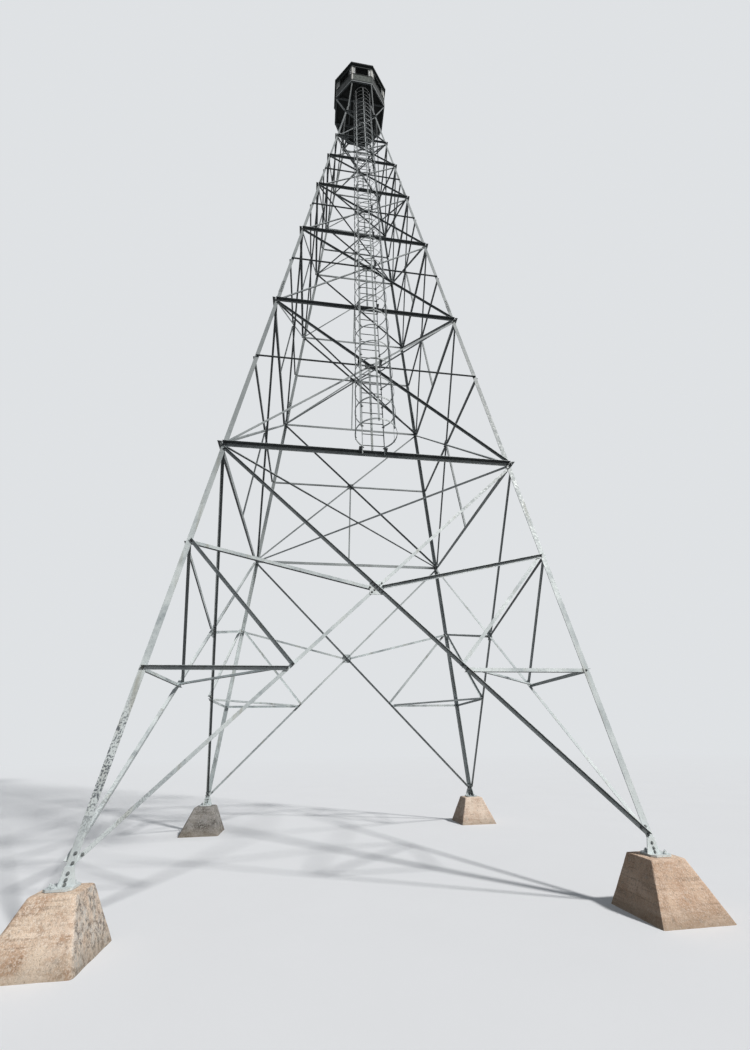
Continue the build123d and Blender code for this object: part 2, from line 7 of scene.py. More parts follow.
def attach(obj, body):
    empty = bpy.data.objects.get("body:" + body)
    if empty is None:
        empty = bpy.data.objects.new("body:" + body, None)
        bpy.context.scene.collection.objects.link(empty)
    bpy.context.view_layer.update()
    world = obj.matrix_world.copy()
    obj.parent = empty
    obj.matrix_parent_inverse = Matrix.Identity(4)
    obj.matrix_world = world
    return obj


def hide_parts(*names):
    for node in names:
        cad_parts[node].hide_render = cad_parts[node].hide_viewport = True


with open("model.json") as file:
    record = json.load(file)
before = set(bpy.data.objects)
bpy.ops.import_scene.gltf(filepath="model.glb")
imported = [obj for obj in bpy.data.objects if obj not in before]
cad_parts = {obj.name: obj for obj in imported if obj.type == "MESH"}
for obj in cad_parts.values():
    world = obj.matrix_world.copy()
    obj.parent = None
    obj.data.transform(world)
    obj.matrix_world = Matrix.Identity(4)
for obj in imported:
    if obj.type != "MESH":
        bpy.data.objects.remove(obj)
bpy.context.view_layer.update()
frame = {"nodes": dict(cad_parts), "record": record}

# Tower outline in metres, the same as the frame's
HALF_BASE = 3.444
TAPER = 0.0956
PIER_HEIGHT = 0.56
PIER_TOP = 0.46
PIER_BASE = 0.92
PIER_INSET = 0.044
LEVELS = [0.0, 6.29, 11.34, 15.45, 19.03, 22.06, 24.63, 28.28, 30.38]
GIRT_SIZES = [0.085, 0.078, 0.078, 0.078, 0.078, 0.065, 0.065]
DIAGONAL_SIZES = [0.05, 0.048, 0.048, 0.045, 0.045, 0.045, 0.045]
GIRT_THICKNESS = 0.007
DIAGONAL_THICKNESS = 0.006
STRUT_THICKNESS = 0.005
STRUT_LOWER = 0.052
STRUT_UPPER = 0.045
STRUT_PANELS = [1, 2, 3, 4]
LEG_THICKNESS = 0.01
BAR_CLEARANCE = 0.012
GUSSET_LAP = 0.03
FOOT_RISE = 0.2
LEG_EDGE = 0.05
SUB_STRUT_LEVEL = 2.225
SUB_BRACE_LEVEL = 4.206
SUB_BRACE_SPREAD = 0.02
SUB_BRACE_STEP = 0.086
SPLICES = [(12.04, 0.085), (19.63, 0.07)]
SLOPE = math.atan(TAPER)
FACES = ["front", "right", "back", "left"]
CORNERS = {"front_left": (-1, -1), "front_right": (1, -1), "back_right": (1, 1), "back_left": (-1, 1)}

# Ladder and cage
LADDER_GAP = 0.135
RAIL_DEPTH = 0.06
RAIL_THICKNESS = 0.012
RAIL_SPACING = 0.428
RUNG_PITCH = 0.3048
RUNG_RADIUS = 0.01
FIRST_RUNG = 6.4087
RUNG_COUNT = 79
CAGE_RADIUS = 0.394
CAGE_CENTRE = 0.5329
CAGE_STRIP = 0.036
CAGE_STRIP_THICKNESS = 0.006
FIRST_HOOP = 6.3497
HOOP_PITCH = 0.58
HOOP_COUNT = 39
OPEN_ANGLE = math.radians(32.35)
CAGE_SEGMENTS = 11
CAGE_SWEEP = 2 * math.pi - 2 * OPEN_ANGLE
STRAP_END = 0.05
STRAP_GAP = 0.0008
HOOP_SEGMENTS = 44
HOOP_TAB = 0.012
HOOP_BOLT = 0.035
RUNG_END = 0.004

# Cab
WALL_APOTHEM = 1.24
WALL_Z = 31.08
WALL_HEIGHT = 1.92
WINDOW_SILL = 0.8
WINDOW_HEAD = 1.75
WINDOW_HALF = 0.445
PALE_HEAD = 1.64
SIDE_LIGHT = 0.09
EAVE_APOTHEM = 1.343
EAVE_Z = 33.0
ROOF_FOOT = 33.06
ROOF_TOP = 33.48
ROOF_TOP_APOTHEM = 0.09
EIGHTH = math.tan(math.radians(22.5))

# Bolt places, measured along a bar from its end or from the edge of what it laps
END_BOLT = 0.024
FOOT_BOLT = 0.016
SECOND_FOOT_BOLT = 0.115
SUB_BRACE_BOLT = 0.03
CENTRE_BOLT = 0.022
STRUT_BOLT = 0.018
LEG_BOLT = 0.045
GIRT_BOLT = 0.03
SPLICE_THICKNESS = 0.008
SPLICE_HALF_LENGTH = 0.26
SPLICE_BOLTS = (-0.21, -0.13, -0.05, 0.05, 0.13, 0.21)

# Base shoes: SHOE_INSET is from the legs' corner to a plate's middle, ANCHOR_SPOTS are from that middle,
# and SHOE_BOLTS are heights up a leg with distances from its outer edge
SHOE_PLATE = 0.02
SHOE_LUG = 0.01
SHOE_LUG_TOP = 0.18
SHOE_INSET = 0.035
ANCHOR_SPOTS = ((0.1, 0.055), (0.055, 0.1), (-0.095, -0.05), (-0.05, -0.095))
SHOE_BOLTS = ((0.035, 0.064), (0.073, 0.06), (0.126, 0.057), (0.292, 0.056))

# Wall boards and window trim, with depths in and out from the wall's outer surface
BOARD_COUNT = 10
BOARD_MARGIN = 0.02
BOARD_GAP = 0.003
BOARD_THICKNESS = 0.012
BOARD_STEP = 0.002
CORNER_BOARD = 0.067
CORNER_THICKNESS = 0.018
SILL_HEIGHT = 0.03
SILL_OVERHANG = 0.02
SILL_DEPTHS = (-0.04, 0.032)
HEAD_HEIGHT = 0.05
HEAD_THICKNESS = 0.02
SKIRTING = 0.07
SKIRTING_THICKNESS = 0.01
TOP_RAIL = 0.03
TOP_RAIL_THICKNESS = 0.024
WALL_TOP = WALL_HEIGHT - 0.001
SASH_RAIL = 0.03
SASH_STILE = 0.016
SASH_GAP = 0.004
SASH_DEPTHS = (-0.038, -0.012)
BAR_HALF = 0.011
BAR_DEPTHS = (-0.036, -0.014)
JAMB = 0.014
JAMB_LAP = 0.001
JAMB_DEPTHS = (-0.045, 0.004)

# Roof trim
SEAMS = (-0.42, -0.21, 0.0, 0.21, 0.42)
SEAM_WIDTH = 0.016
SEAM_HEIGHT = 0.022
SEAM_SUNK = 0.002
HIP_WIDTH = 0.07
HIP_HEIGHT = 0.016
DRIP_WIDTH = 0.012
DRIP_HEIGHT = 0.022
SOFFIT_START = WALL_APOTHEM + 0.006
SOFFIT_BOARD = 0.03
SOFFIT_PITCH = 0.033
SOFFIT_THICKNESS = 0.008

# Concrete piers: steps round and up each one, and depths of wear
PIER_STEPS = 36
PIER_RINGS = 24
RIM_RINGS = 6
RIM_LEAST = 0.004
RIM_WEAR = 0.016
CORNER_WEAR = 0.018
FORM_BOARD = 0.14
FORM_BOARD_STEP = 0.003
COARSE_WEAR = 0.006
MIDDLE_WEAR = 0.004
FINE_WEAR = 0.002

# Studio
BACKGROUND = (0.74, 0.76, 0.78)
FLOOR_SEEN = (0.845, 0.87, 0.91)
FLOOR_LIT = (0.14, 0.135, 0.13)
FLOOR_RADIUS = 400.0
FADE_FROM = 14.0
FADE_TO = 70.0
WORLD_COLOUR = (0.9, 0.95, 1.0)
WORLD_STRENGTH = 0.2
SUN_COLOUR = (1.0, 0.97, 0.93)
SUN_STRENGTH = 3.2
SUN_ANGLE = 0.08
SUN_SIDE = (0.55, -0.65, 0.76)

# The photo's camera, solved from the tower's own joints
CAMERA_PLACE = (-0.933, -9.403, 1.835)
CAMERA_YAW = 0.1452
CAMERA_PITCH = 0.4825
CAMERA_ROLL = -0.0179
CAMERA_LENS = 14.343

# Heights above the ground where painted shade darkens the steel, and the middle of its thickest dark specks
HEIGHT_SHADE_FROM = 4.4
HEIGHT_SHADE_FULL = 8.0
SHADE_FROM = 24.5
DARK_FROM = 27.5
SPECK_SPOT = (-3.3, -3.34, 1.72)

# Colours of stains, wear and coverings, and of painted shade
RUN_STAIN = (0.3, 0.28, 0.2)
# Painted shade colour for the steel's sides facing away from the sun
AWAY_SIDE_SHADE = (0.1, 0.115, 0.11)
# Painted shade colour for the steel's downward faces
UNDERSIDE_SHADE = (0.018, 0.024, 0.026)
CHIP_DARK = (0.17, 0.165, 0.16)
CHIP_PALE = (0.62, 0.605, 0.58)
DARK_BLOT = (0.16, 0.13, 0.1)
DARK_GRIT = (0.24, 0.18, 0.14)
SPLASH_STAIN = (0.26, 0.22, 0.17)
# Painted shade colour for window frames facing left
LEFT_SIDE_SHADE = (0.05, 0.055, 0.052)
BLEACHED_WOOD = (0.2, 0.23, 0.21)
ROOF_DARK = (0.03, 0.035, 0.036)
ROOF_PALE = (0.06, 0.068, 0.067)
ROOF_MOSS = (0.05, 0.065, 0.035)
ROOF_GRIT = (0.13, 0.14, 0.135)
CLEAR_GLASS = (0.72, 0.78, 0.8)
DUSTY_GLASS = (0.86, 0.88, 0.87)


# Geometry helpers
def half_width(z):
    """Half the distance between the outer corners of two legs, z above the piers."""
    return HALF_BASE - TAPER * z


def up_face(z):
    """Distance along the sloping face for a height z above the piers."""
    return z / math.cos(SLOPE)


def face_frame(face, u=0.0, v=0.0, w=0.0, turn=0.0):
    """Place on one face: x level, y up the slope, z outwards, turned in the face's plane."""
    s, c = math.sin(SLOPE), math.cos(SLOPE)
    base = Matrix(((1, 0, 0, 0), (0, s, -c, -HALF_BASE), (0, c, s, PIER_HEIGHT), (0, 0, 0, 1)))
    around = Matrix.Rotation(face * math.pi / 2, 4, "Z")
    return around @ base @ Matrix.Translation((u, v, w)) @ Matrix.Rotation(turn, 4, "Z")


def wall_frame(wall, u=0.0, v=0.0, w=0.0):
    """Place on one cab wall: x level, y up, z outwards from its outer surface."""
    base = Matrix(((1, 0, 0, 0), (0, 0, -1, -WALL_APOTHEM), (0, 1, 0, WALL_Z), (0, 0, 0, 1)))
    return Matrix.Rotation(wall * math.pi / 4, 4, "Z") @ base @ Matrix.Translation((u, v, w))


class Piece:
    """Collects the vertices and faces of one visible piece."""

    def __init__(self):
        self.points = []
        self.faces = []

    def add(self, matrix, points, faces):
        """Adds points given in a local frame, and faces that count from the first of them."""
        start = len(self.points)
        self.points += [matrix @ Vector(point) for point in points]
        self.faces += [[start + i for i in face] for face in faces]

    def lathe(self, matrix, profile, sides, turn=0.0):
        """Closed solid of rings, each a radius and a height."""
        points, faces = [], []
        for radius, height in profile:
            for i in range(sides):
                angle = turn + 2 * math.pi * i / sides
                points.append((radius * math.cos(angle), radius * math.sin(angle), height))
        for ring in range(len(profile) - 1):
            for i in range(sides):
                j = (i + 1) % sides
                low, high = ring * sides, (ring + 1) * sides
                faces.append([low + i, low + j, high + j, high + i])
        last = (len(profile) - 1) * sides
        faces.append(list(range(sides))[::-1])
        faces.append([last + i for i in range(sides)])
        self.add(matrix, points, faces)

    def plate(self, matrix, outline, low, high):
        """Prism of an outline given counter-clockwise."""
        count = len(outline)
        points = [(x, y, low) for x, y in outline] + [(x, y, high) for x, y in outline]
        faces = [list(range(count))[::-1], [count + i for i in range(count)]]
        for i in range(count):
            j = (i + 1) % count
            faces.append([i, j, count + j, count + i])
        self.add(matrix, points, faces)

    def block(self, matrix, low, high):
        """Box from one corner to the other."""
        outline = [(low[0], low[1]), (high[0], low[1]), (high[0], high[1]), (low[0], high[1])]
        self.plate(matrix, outline, low[2], high[2])

    def finish(self, name, material, slot, smooth=False, replaces=()):
        """Makes the object, rides it on the tower and gives it its material."""
        mesh = bpy.data.meshes.new(name)
        mesh.from_pydata(self.points, [], self.faces)
        mesh.materials.append(material)
        if smooth:
            mesh.polygons.foreach_set("use_smooth", [True] * len(mesh.polygons))
            mesh.set_sharp_from_angle(angle=math.radians(35))
        mesh.validate()
        piece = bpy.data.objects.new(name, mesh)
        bpy.context.scene.collection.objects.link(piece)
        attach(piece, "root")
        if replaces:
            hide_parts(*replaces)
        return piece


# Material helpers
class Paint:
    """Node graph of one material, with short names for the nodes that repeat."""

    def __init__(self, name):
        self.material = bpy.data.materials.new(name)
        self.material.use_nodes = True
        self.tree = self.material.node_tree
        self.shader = self.tree.nodes["Principled BSDF"]
        self.place = self.node("ShaderNodeTexCoord").outputs["Object"]

    def node(self, kind, **values):
        """New node with its plain settings."""
        made = self.tree.nodes.new(kind)
        for key, value in values.items():
            setattr(made, key, value)
        return made

    def feed(self, socket, value):
        """Sets a socket, or links it to another node's output."""
        if isinstance(value, bpy.types.NodeSocket):
            self.tree.links.new(value, socket)
        else:
            socket.default_value = value

    def stretched(self, stretch):
        """Object coordinates scaled along each axis."""
        mapping = self.node("ShaderNodeMapping")
        self.feed(mapping.inputs["Vector"], self.place)
        self.feed(mapping.inputs["Scale"], stretch)
        return mapping.outputs["Vector"]

    def noise(self, scale, detail=4.0, stretch=(1, 1, 1), rough=0.55):
        """Soft noise about a half, its cells 1 / scale metres across."""
        made = self.node("ShaderNodeTexNoise")
        self.feed(made.inputs["Vector"], self.stretched(stretch))
        self.feed(made.inputs["Scale"], scale)
        self.feed(made.inputs["Detail"], detail)
        self.feed(made.inputs["Roughness"], rough)
        return made.outputs["Fac"]

    def cells(self, scale, stretch=(1, 1, 1)):
        """Random grey for each crystal-like cell."""
        made = self.node("ShaderNodeTexVoronoi")
        self.feed(made.inputs["Vector"], self.stretched(stretch))
        self.feed(made.inputs["Scale"], scale)
        grey = self.node("ShaderNodeSeparateColor")
        self.feed(grey.inputs["Color"], made.outputs["Color"])
        return grey.outputs["Red"]

    def share(self, value, low, high, top=1.0):
        """0 up to low, top from high, and straight between them."""
        made = self.node("ShaderNodeMapRange")
        self.feed(made.inputs["Value"], value)
        self.feed(made.inputs["From Min"], low)
        self.feed(made.inputs["From Max"], high)
        self.feed(made.inputs["To Max"], top)
        return made.outputs["Result"]

    def math(self, operation, first, second):
        """One arithmetic step."""
        made = self.node("ShaderNodeMath", operation=operation)
        self.feed(made.inputs[0], first)
        self.feed(made.inputs[1], second)
        return made.outputs["Value"]

    def blend(self, share, first, second):
        """Colour between two colours."""
        made = self.node("ShaderNodeMix", data_type="RGBA")
        self.feed(made.inputs[0], share)
        for socket, value in ((made.inputs[6], first), (made.inputs[7], second)):
            self.feed(socket, value if isinstance(value, bpy.types.NodeSocket) else (*value, 1.0))
        return made.outputs[2]

    def facing(self, axis):
        """How far the surface faces along one world axis."""
        normal = self.node("ShaderNodeNewGeometry").outputs["True Normal"]
        parts = self.node("ShaderNodeSeparateXYZ")
        self.feed(parts.inputs["Vector"], normal)
        return parts.outputs[axis]

    def height(self):
        """Height above the ground."""
        parts = self.node("ShaderNodeSeparateXYZ")
        self.feed(parts.inputs["Vector"], self.place)
        return parts.outputs["Z"]

    def away(self, spot):
        """Distance from one place on the tower."""
        made = self.node("ShaderNodeVectorMath", operation="DISTANCE")
        self.feed(made.inputs[0], self.place)
        self.feed(made.inputs[1], spot)
        return made.outputs["Value"]

    def finish(self, colour, roughness, relief, depth, metallic=0.0, specular=0.5):
        """Joins colour, roughness and relief to the shader."""
        self.feed(self.shader.inputs["Base Color"], colour)
        self.feed(self.shader.inputs["Roughness"], roughness)
        self.feed(self.shader.inputs["Metallic"], metallic)
        self.feed(self.shader.inputs["Specular IOR Level"], specular)
        bump = self.node("ShaderNodeBump")
        self.feed(bump.inputs["Height"], relief)
        self.feed(bump.inputs["Distance"], depth)
        self.feed(self.shader.inputs["Normal"], bump.outputs["Normal"])
        return self.material


def galvanised(name, pale, mid, dark, dirt=0.5, cab_shade_share=0.4):
    """Old zinc: spangle, pale and dull patches, run-down stains, dark specks, and painted shade on
    undersides, on sides facing away from the sun, above head height and near the cab.
    """
    paint = Paint(name)
    patches = paint.share(paint.noise(1.3, 5), 0.38, 0.6)
    mottle = paint.share(paint.noise(11.0, 4), 0.4, 0.62)
    colour = paint.blend(patches, mid, pale)
    colour = paint.blend(paint.math("MULTIPLY", mottle, 0.5), colour, pale)
    spangle = paint.cells(60.0)
    colour = paint.blend(paint.math("MULTIPLY", spangle, 0.18), colour, mid)
    runs = paint.share(paint.noise(9.0, 4, (1, 1, 0.1)), 0.56, 0.74, dirt)
    colour = paint.blend(runs, colour, RUN_STAIN)
    # Dark specks in patches, thickest round one spot low on the front left leg.
    where = paint.share(paint.noise(0.6, 2), 0.61, 0.69, 0.4)
    where = paint.math("MAXIMUM", where, paint.share(paint.away(SPECK_SPOT), 0.85, 0.35))
    specks = paint.share(paint.noise(48.0, 3), 0.49, 0.56, 0.85)
    colour = paint.blend(paint.math("MULTIPLY", where, specks), colour, dark)
    # Painted shade: above head height the steel darkens towards a third of its mid tone, standing in for
    # the darker look of members seen from below.
    height_shade = paint.share(paint.height(), HEIGHT_SHADE_FROM, HEIGHT_SHADE_FULL, 0.7)
    colour = paint.blend(height_shade, colour, tuple(0.35 * value for value in mid))
    # Painted shade: from SHADE_FROM up to DARK_FROM the steel darkens towards near black, standing in for
    # the shade under and beside the cab.
    cab_shade = paint.share(paint.height(), SHADE_FROM, DARK_FROM, cab_shade_share)
    colour = paint.blend(cab_shade, colour, tuple(0.07 * value for value in mid))
    small = paint.share(paint.noise(75.0, 3, (1, 1, 0.6)), 0.6, 0.7, 0.4)
    colour = paint.blend(small, colour, dark)
    # Painted shade: faces turned away from the sun, towards +Y and -X, are darkened.
    away_from_sun = paint.math("ADD", paint.facing("Y"), paint.math("MULTIPLY", paint.facing("X"), -0.8))
    colour = paint.blend(paint.share(away_from_sun, 0.1, 0.9, 0.6), colour, AWAY_SIDE_SHADE)
    # Painted shade: downward faces are darkened nearly to black.
    under = paint.math("MULTIPLY", paint.facing("Z"), -1.0)
    colour = paint.blend(paint.share(under, 0.3, 0.75, 0.9), colour, UNDERSIDE_SHADE)
    roughness = paint.share(paint.noise(22.0, 3), 0.3, 0.7, 0.3)
    roughness = paint.math("ADD", roughness, 0.42)
    relief = paint.math("ADD", paint.noise(160.0, 3), paint.math("MULTIPLY", spangle, 0.3))
    return paint.finish(colour, roughness, relief, 0.0007, metallic=0.1)


def cast_concrete(name, stained, clean, grey_share, right_grey=0.0):
    """Old form-cast concrete: tan, with board lines, run-down stains, grey lichen and grit."""
    paint = Paint(name)
    patches = paint.share(paint.noise(4.0, 6), 0.38, 0.62)
    colour = paint.blend(patches, stained, clean)
    bands = paint.share(paint.noise(7.0, 3, (0.3, 0.3, 2.6)), 0.5, 0.64, 0.6)
    colour = paint.blend(bands, colour, tuple(0.15 + value for value in clean))
    lines = paint.share(paint.noise(26.0, 2, (0.06, 0.06, 1.0)), 0.6, 0.66, 0.45)
    colour = paint.blend(lines, colour, tuple(0.5 * value for value in stained))
    runs = paint.share(paint.noise(13.0, 4, (1, 1, 0.12)), 0.54, 0.7, 0.5)
    colour = paint.blend(runs, colour, tuple(0.7 * value for value in stained))
    grey = paint.share(paint.noise(5.5, 6), 0.63 - 0.23 * grey_share, 0.7 - 0.14 * grey_share, 0.8)
    colour = paint.blend(grey, colour, tuple(0.18 + 0.45 * value for value in clean))
    streaks = paint.share(paint.noise(9.0, 5, (1, 1, 0.25)), 0.26, 0.54)
    right = paint.math("MULTIPLY", paint.share(paint.facing("X"), 0.4, 0.8, right_grey), streaks)
    chips = paint.share(paint.noise(17.0, 5), 0.44, 0.56)
    colour = paint.blend(right, colour, paint.blend(chips, CHIP_DARK, CHIP_PALE))
    blots = paint.share(paint.noise(30.0, 4), 0.52, 0.6, min(0.7, 0.4 + 2 * grey_share))
    colour = paint.blend(blots, colour, tuple(0.1 + 0.85 * value for value in clean))
    dark = paint.share(paint.noise(24.0, 5), 0.58, 0.66, 0.3 + 0.42 * grey_share)
    colour = paint.blend(dark, colour, DARK_BLOT)
    grit = paint.share(paint.noise(120.0, 2), 0.58, 0.66, 0.6)
    colour = paint.blend(grit, colour, DARK_GRIT)
    pale = paint.share(paint.noise(75.0, 3), 0.54, 0.64, 0.75)
    colour = paint.blend(pale, colour, tuple(0.3 + 0.7 * value for value in clean))
    splash = paint.share(paint.height(), 0.2, 0.0, 0.5)
    colour = paint.blend(splash, colour, SPLASH_STAIN)
    relief = paint.math("ADD", paint.noise(45.0, 6), paint.math("MULTIPLY", paint.noise(220.0, 3), 0.4))
    return paint.finish(colour, 0.92, relief, 0.008, specular=0.2)


def old_boards(name, dark, pale, along, rough=0.8, left_shade=0.0, bleach=0.0):
    """Weathered boards or painted timber: long grain, worn patches, painted shade on faces turned to the
    left, a bleached front.
    """
    paint = Paint(name)
    grain = paint.share(paint.noise(60.0, 5, along), 0.34, 0.66)
    patches = paint.share(paint.noise(2.6, 5), 0.4, 0.64)
    colour = paint.blend(paint.math("MULTIPLY", grain, 0.6), dark, pale)
    colour = paint.blend(paint.math("MULTIPLY", patches, 0.5), colour, dark)
    wear = paint.share(paint.noise(30.0, 4, along), 0.62, 0.7, 0.5)
    colour = paint.blend(wear, colour, tuple(min(1.0, 1.7 * value + 0.02) for value in pale))
    # Painted shade: faces turned to the left, away from the sun, are darkened.
    left = paint.math("MULTIPLY", paint.facing("X"), -1.0)
    colour = paint.blend(paint.share(left, 0.3, 0.65, left_shade), colour, LEFT_SIDE_SHADE)
    if bleach:
        front = paint.math("MULTIPLY", paint.facing("Y"), -1.0)
        bleached = paint.math("MULTIPLY", paint.share(front, 0.85, 0.97, bleach), grain)
        colour = paint.blend(bleached, colour, BLEACHED_WOOD)
    relief = paint.math("ADD", grain, paint.noise(120.0, 3))
    return paint.finish(colour, rough, relief, 0.002, specular=0.25)


def roof_cover(name):
    """Dull dark roof sheet with rain streaks, moss near the eaves and slight dents."""
    paint = Paint(name)
    patches = paint.share(paint.noise(2.0, 5), 0.38, 0.64)
    colour = paint.blend(patches, ROOF_DARK, ROOF_PALE)
    moss = paint.share(paint.noise(9.0, 5), 0.58, 0.68, 0.5)
    colour = paint.blend(moss, colour, ROOF_MOSS)
    grit = paint.share(paint.noise(140.0, 2), 0.58, 0.68, 0.5)
    colour = paint.blend(grit, colour, ROOF_GRIT)
    relief = paint.math("ADD", paint.noise(3.0, 3), paint.math("MULTIPLY", paint.noise(150.0, 2), 0.15))
    return paint.finish(colour, 0.72, relief, 0.006, specular=0.3)


def dusty_glass(name):
    """Old window glass with a thin pale film of dust that is thicker towards its edges."""
    paint = Paint(name)
    film = paint.share(paint.noise(8.0, 5), 0.4, 0.66)
    colour = paint.blend(film, CLEAR_GLASS, DUSTY_GLASS)
    paint.feed(paint.shader.inputs["Transmission Weight"], paint.share(film, 0.0, 1.0, 0.25))
    paint.feed(paint.shader.inputs["IOR"], 1.5)
    roughness = paint.share(film, 0.0, 1.0, 0.3)
    return paint.finish(colour, paint.math("ADD", roughness, 0.05), paint.noise(12.0, 2), 0.001)


ZINC = ((0.71, 0.77, 0.78), (0.39, 0.44, 0.46), (0.05, 0.06, 0.08))
STEEL = galvanised("galvanised_steel", *ZINC)
# The ladder cage's steel carries the strongest painted shade near the cab, almost to black.
CAGE_STEEL = galvanised("cage_steel", *ZINC, cab_shade_share=0.96)
BOLT_STEEL = galvanised("bolt_steel", (0.2, 0.22, 0.22), (0.07, 0.08, 0.085), (0.03, 0.03, 0.03), dirt=0.7)
TAN_CONCRETE = cast_concrete("tan_concrete", (0.6, 0.41, 0.29), (0.76, 0.57, 0.43), grey_share=0.0)
WORN_CONCRETE = cast_concrete("worn_concrete", (0.52, 0.34, 0.23), (0.84, 0.69, 0.55), grey_share=0.15,
                              right_grey=0.85)
PALE_CONCRETE = cast_concrete("pale_concrete", (0.62, 0.45, 0.34), (0.82, 0.68, 0.56), grey_share=0.2)
GREY_CONCRETE = cast_concrete("grey_concrete", (0.07, 0.066, 0.06), (0.25, 0.24, 0.225), grey_share=0.6,
                              right_grey=0.6)
ALONG_WALL = (1, 1, 0.07)
ALONG_FLOOR = (0.07, 1, 1)
ALONG_FRAME = (1, 1, 0.12)
WALL_BOARDS = old_boards("wall_boards", (0.008, 0.011, 0.012), (0.03, 0.037, 0.036), ALONG_WALL, bleach=0.9)
# Floor boards near black: dark old wood, darkened further as painted shade for the cab's underside.
FLOOR_BOARDS_AND_SHADE = old_boards("floor_boards", (0.01, 0.012, 0.012), (0.03, 0.034, 0.033), ALONG_FLOOR)
FRAME_PAINT = old_boards("frame_paint", (0.5, 0.51, 0.49), (0.84, 0.85, 0.82), ALONG_FRAME, rough=0.6,
                         left_shade=0.8)
MULLION_PAINT = old_boards("mullion_paint", (0.03, 0.036, 0.035), (0.1, 0.11, 0.105), ALONG_FRAME,
                           rough=0.65)
TRIM_PAINT = old_boards("trim_paint", (0.02, 0.026, 0.026), (0.07, 0.082, 0.078), ALONG_FRAME, rough=0.7)
ROOF_SHEET = roof_cover("roof_sheet")
GLASS = dusty_glass("dusty_glass")


def dress_frame():
    """Gives every node of the frame the material of its slot."""
    by_slot = {"galvanised_steel": STEEL, "concrete": TAN_CONCRETE, "wall_boards": WALL_BOARDS,
               "window_frames": MULLION_PAINT, "floor_boards": FLOOR_BOARDS_AND_SHADE, "roof_sheet": ROOF_SHEET,
               "glass": GLASS}
    for part in frame["record"]["subparts"]:
        mesh = frame["nodes"][part["node"]].data
        mesh.materials.clear()
        on_ladder = part["node"].startswith(("ladder", "cage"))
        mesh.materials.append(CAGE_STEEL if on_ladder else by_slot[part["material_slot"]])


# Bolts, each part as the radii and heights of its rings
WASHER = [(0.0175, 0.0), (0.0175, 0.003)]
HEAD = [(0.0145, 0.003), (0.0145, 0.0115), (0.0122, 0.0135)]
NUT = [(0.0122, 0.003), (0.0145, 0.005), (0.0145, 0.015), (0.0122, 0.017)]
STUB = [(0.008, 0.017), (0.008, 0.024), (0.0065, 0.0255)]
ANCHOR_WASHER = [(0.025, 0.0), (0.025, 0.003)]
ANCHOR_NUT = [(0.0165, 0.003), (0.019, 0.006), (0.019, 0.019), (0.0165, 0.021)]
ANCHOR_ROD = [(0.01, 0.0), (0.01, 0.034), (0.0085, 0.036)]
WELD_RING = [(0.0155, 0.0), (0.0125, 0.005), (RUNG_RADIUS, 0.006)]
STRAP_RIVET = [(0.011, 0.0), (0.0095, 0.005), (0.005, 0.0075)]
STRAP_NUT = [(0.012, 0.0), (0.012, 0.009)]


def bolt(piece, outside, inside, spin):
    """Head and washer on the outside, nut and thread end on the inside; each frame's z points away."""
    piece.lathe(outside, WASHER, 12)
    piece.lathe(outside, HEAD, 6, spin)
    piece.lathe(inside, WASHER, 12)
    piece.lathe(inside, NUT, 6, spin + 0.4)
    piece.lathe(inside, STUB, 8)


def face_bolt(piece, face, u, v, outer, inner):
    """Bolt square through one face, from the outer surface to the inner one."""
    spin = 7.3 * u + 3.1 * v
    flip = Matrix.Rotation(math.pi, 4, "X")
    bolt(piece, face_frame(face, u, v, outer), face_frame(face, u, v, inner) @ flip, spin)


def joint_offset(panel, girt):
    """Distance from the middle of a girt to the end of a diagonal beside it."""
    return GIRT_SIZES[girt] / 2 + DIAGONAL_SIZES[panel] / 2 + BAR_CLEARANCE


def panel_ends(panel):
    """Heights where the diagonals of a panel meet the legs."""
    low = FOOT_RISE if panel == 0 else LEVELS[panel] + joint_offset(panel, panel - 1)
    return low, LEVELS[panel + 1] - joint_offset(panel, panel)


def crossing_height(panel):
    """Height where the two diagonals of a panel cross."""
    low, high = panel_ends(panel)
    share = half_width(low) / (half_width(low) + half_width(high))
    return low + (high - low) * share


def diagonal_ends(panel):
    """Left foot and right head of a rising diagonal."""
    low, high = panel_ends(panel)
    foot = Vector((LEG_EDGE - half_width(low), up_face(low)))
    return foot, Vector((half_width(high) - LEG_EDGE, up_face(high)))


def crossing_reach(panel, strut):
    """How far a level strut stays from the middle of the crossing."""
    foot, head = diagonal_ends(panel)
    along = (head - foot).normalized()
    return (DIAGONAL_SIZES[panel] / 2 + strut / 2 * along.x) / along.y + BAR_CLEARANCE


def sub_joint(step=0.0):
    """Place on the left diagonal of the first panel where a sub-strut meets it, or a step further up it."""
    foot, head = diagonal_ends(0)
    share = (up_face(SUB_STRUT_LEVEL) - foot.y) / (head.y - foot.y)
    return foot + (head - foot) * (share + step / (head - foot).length)


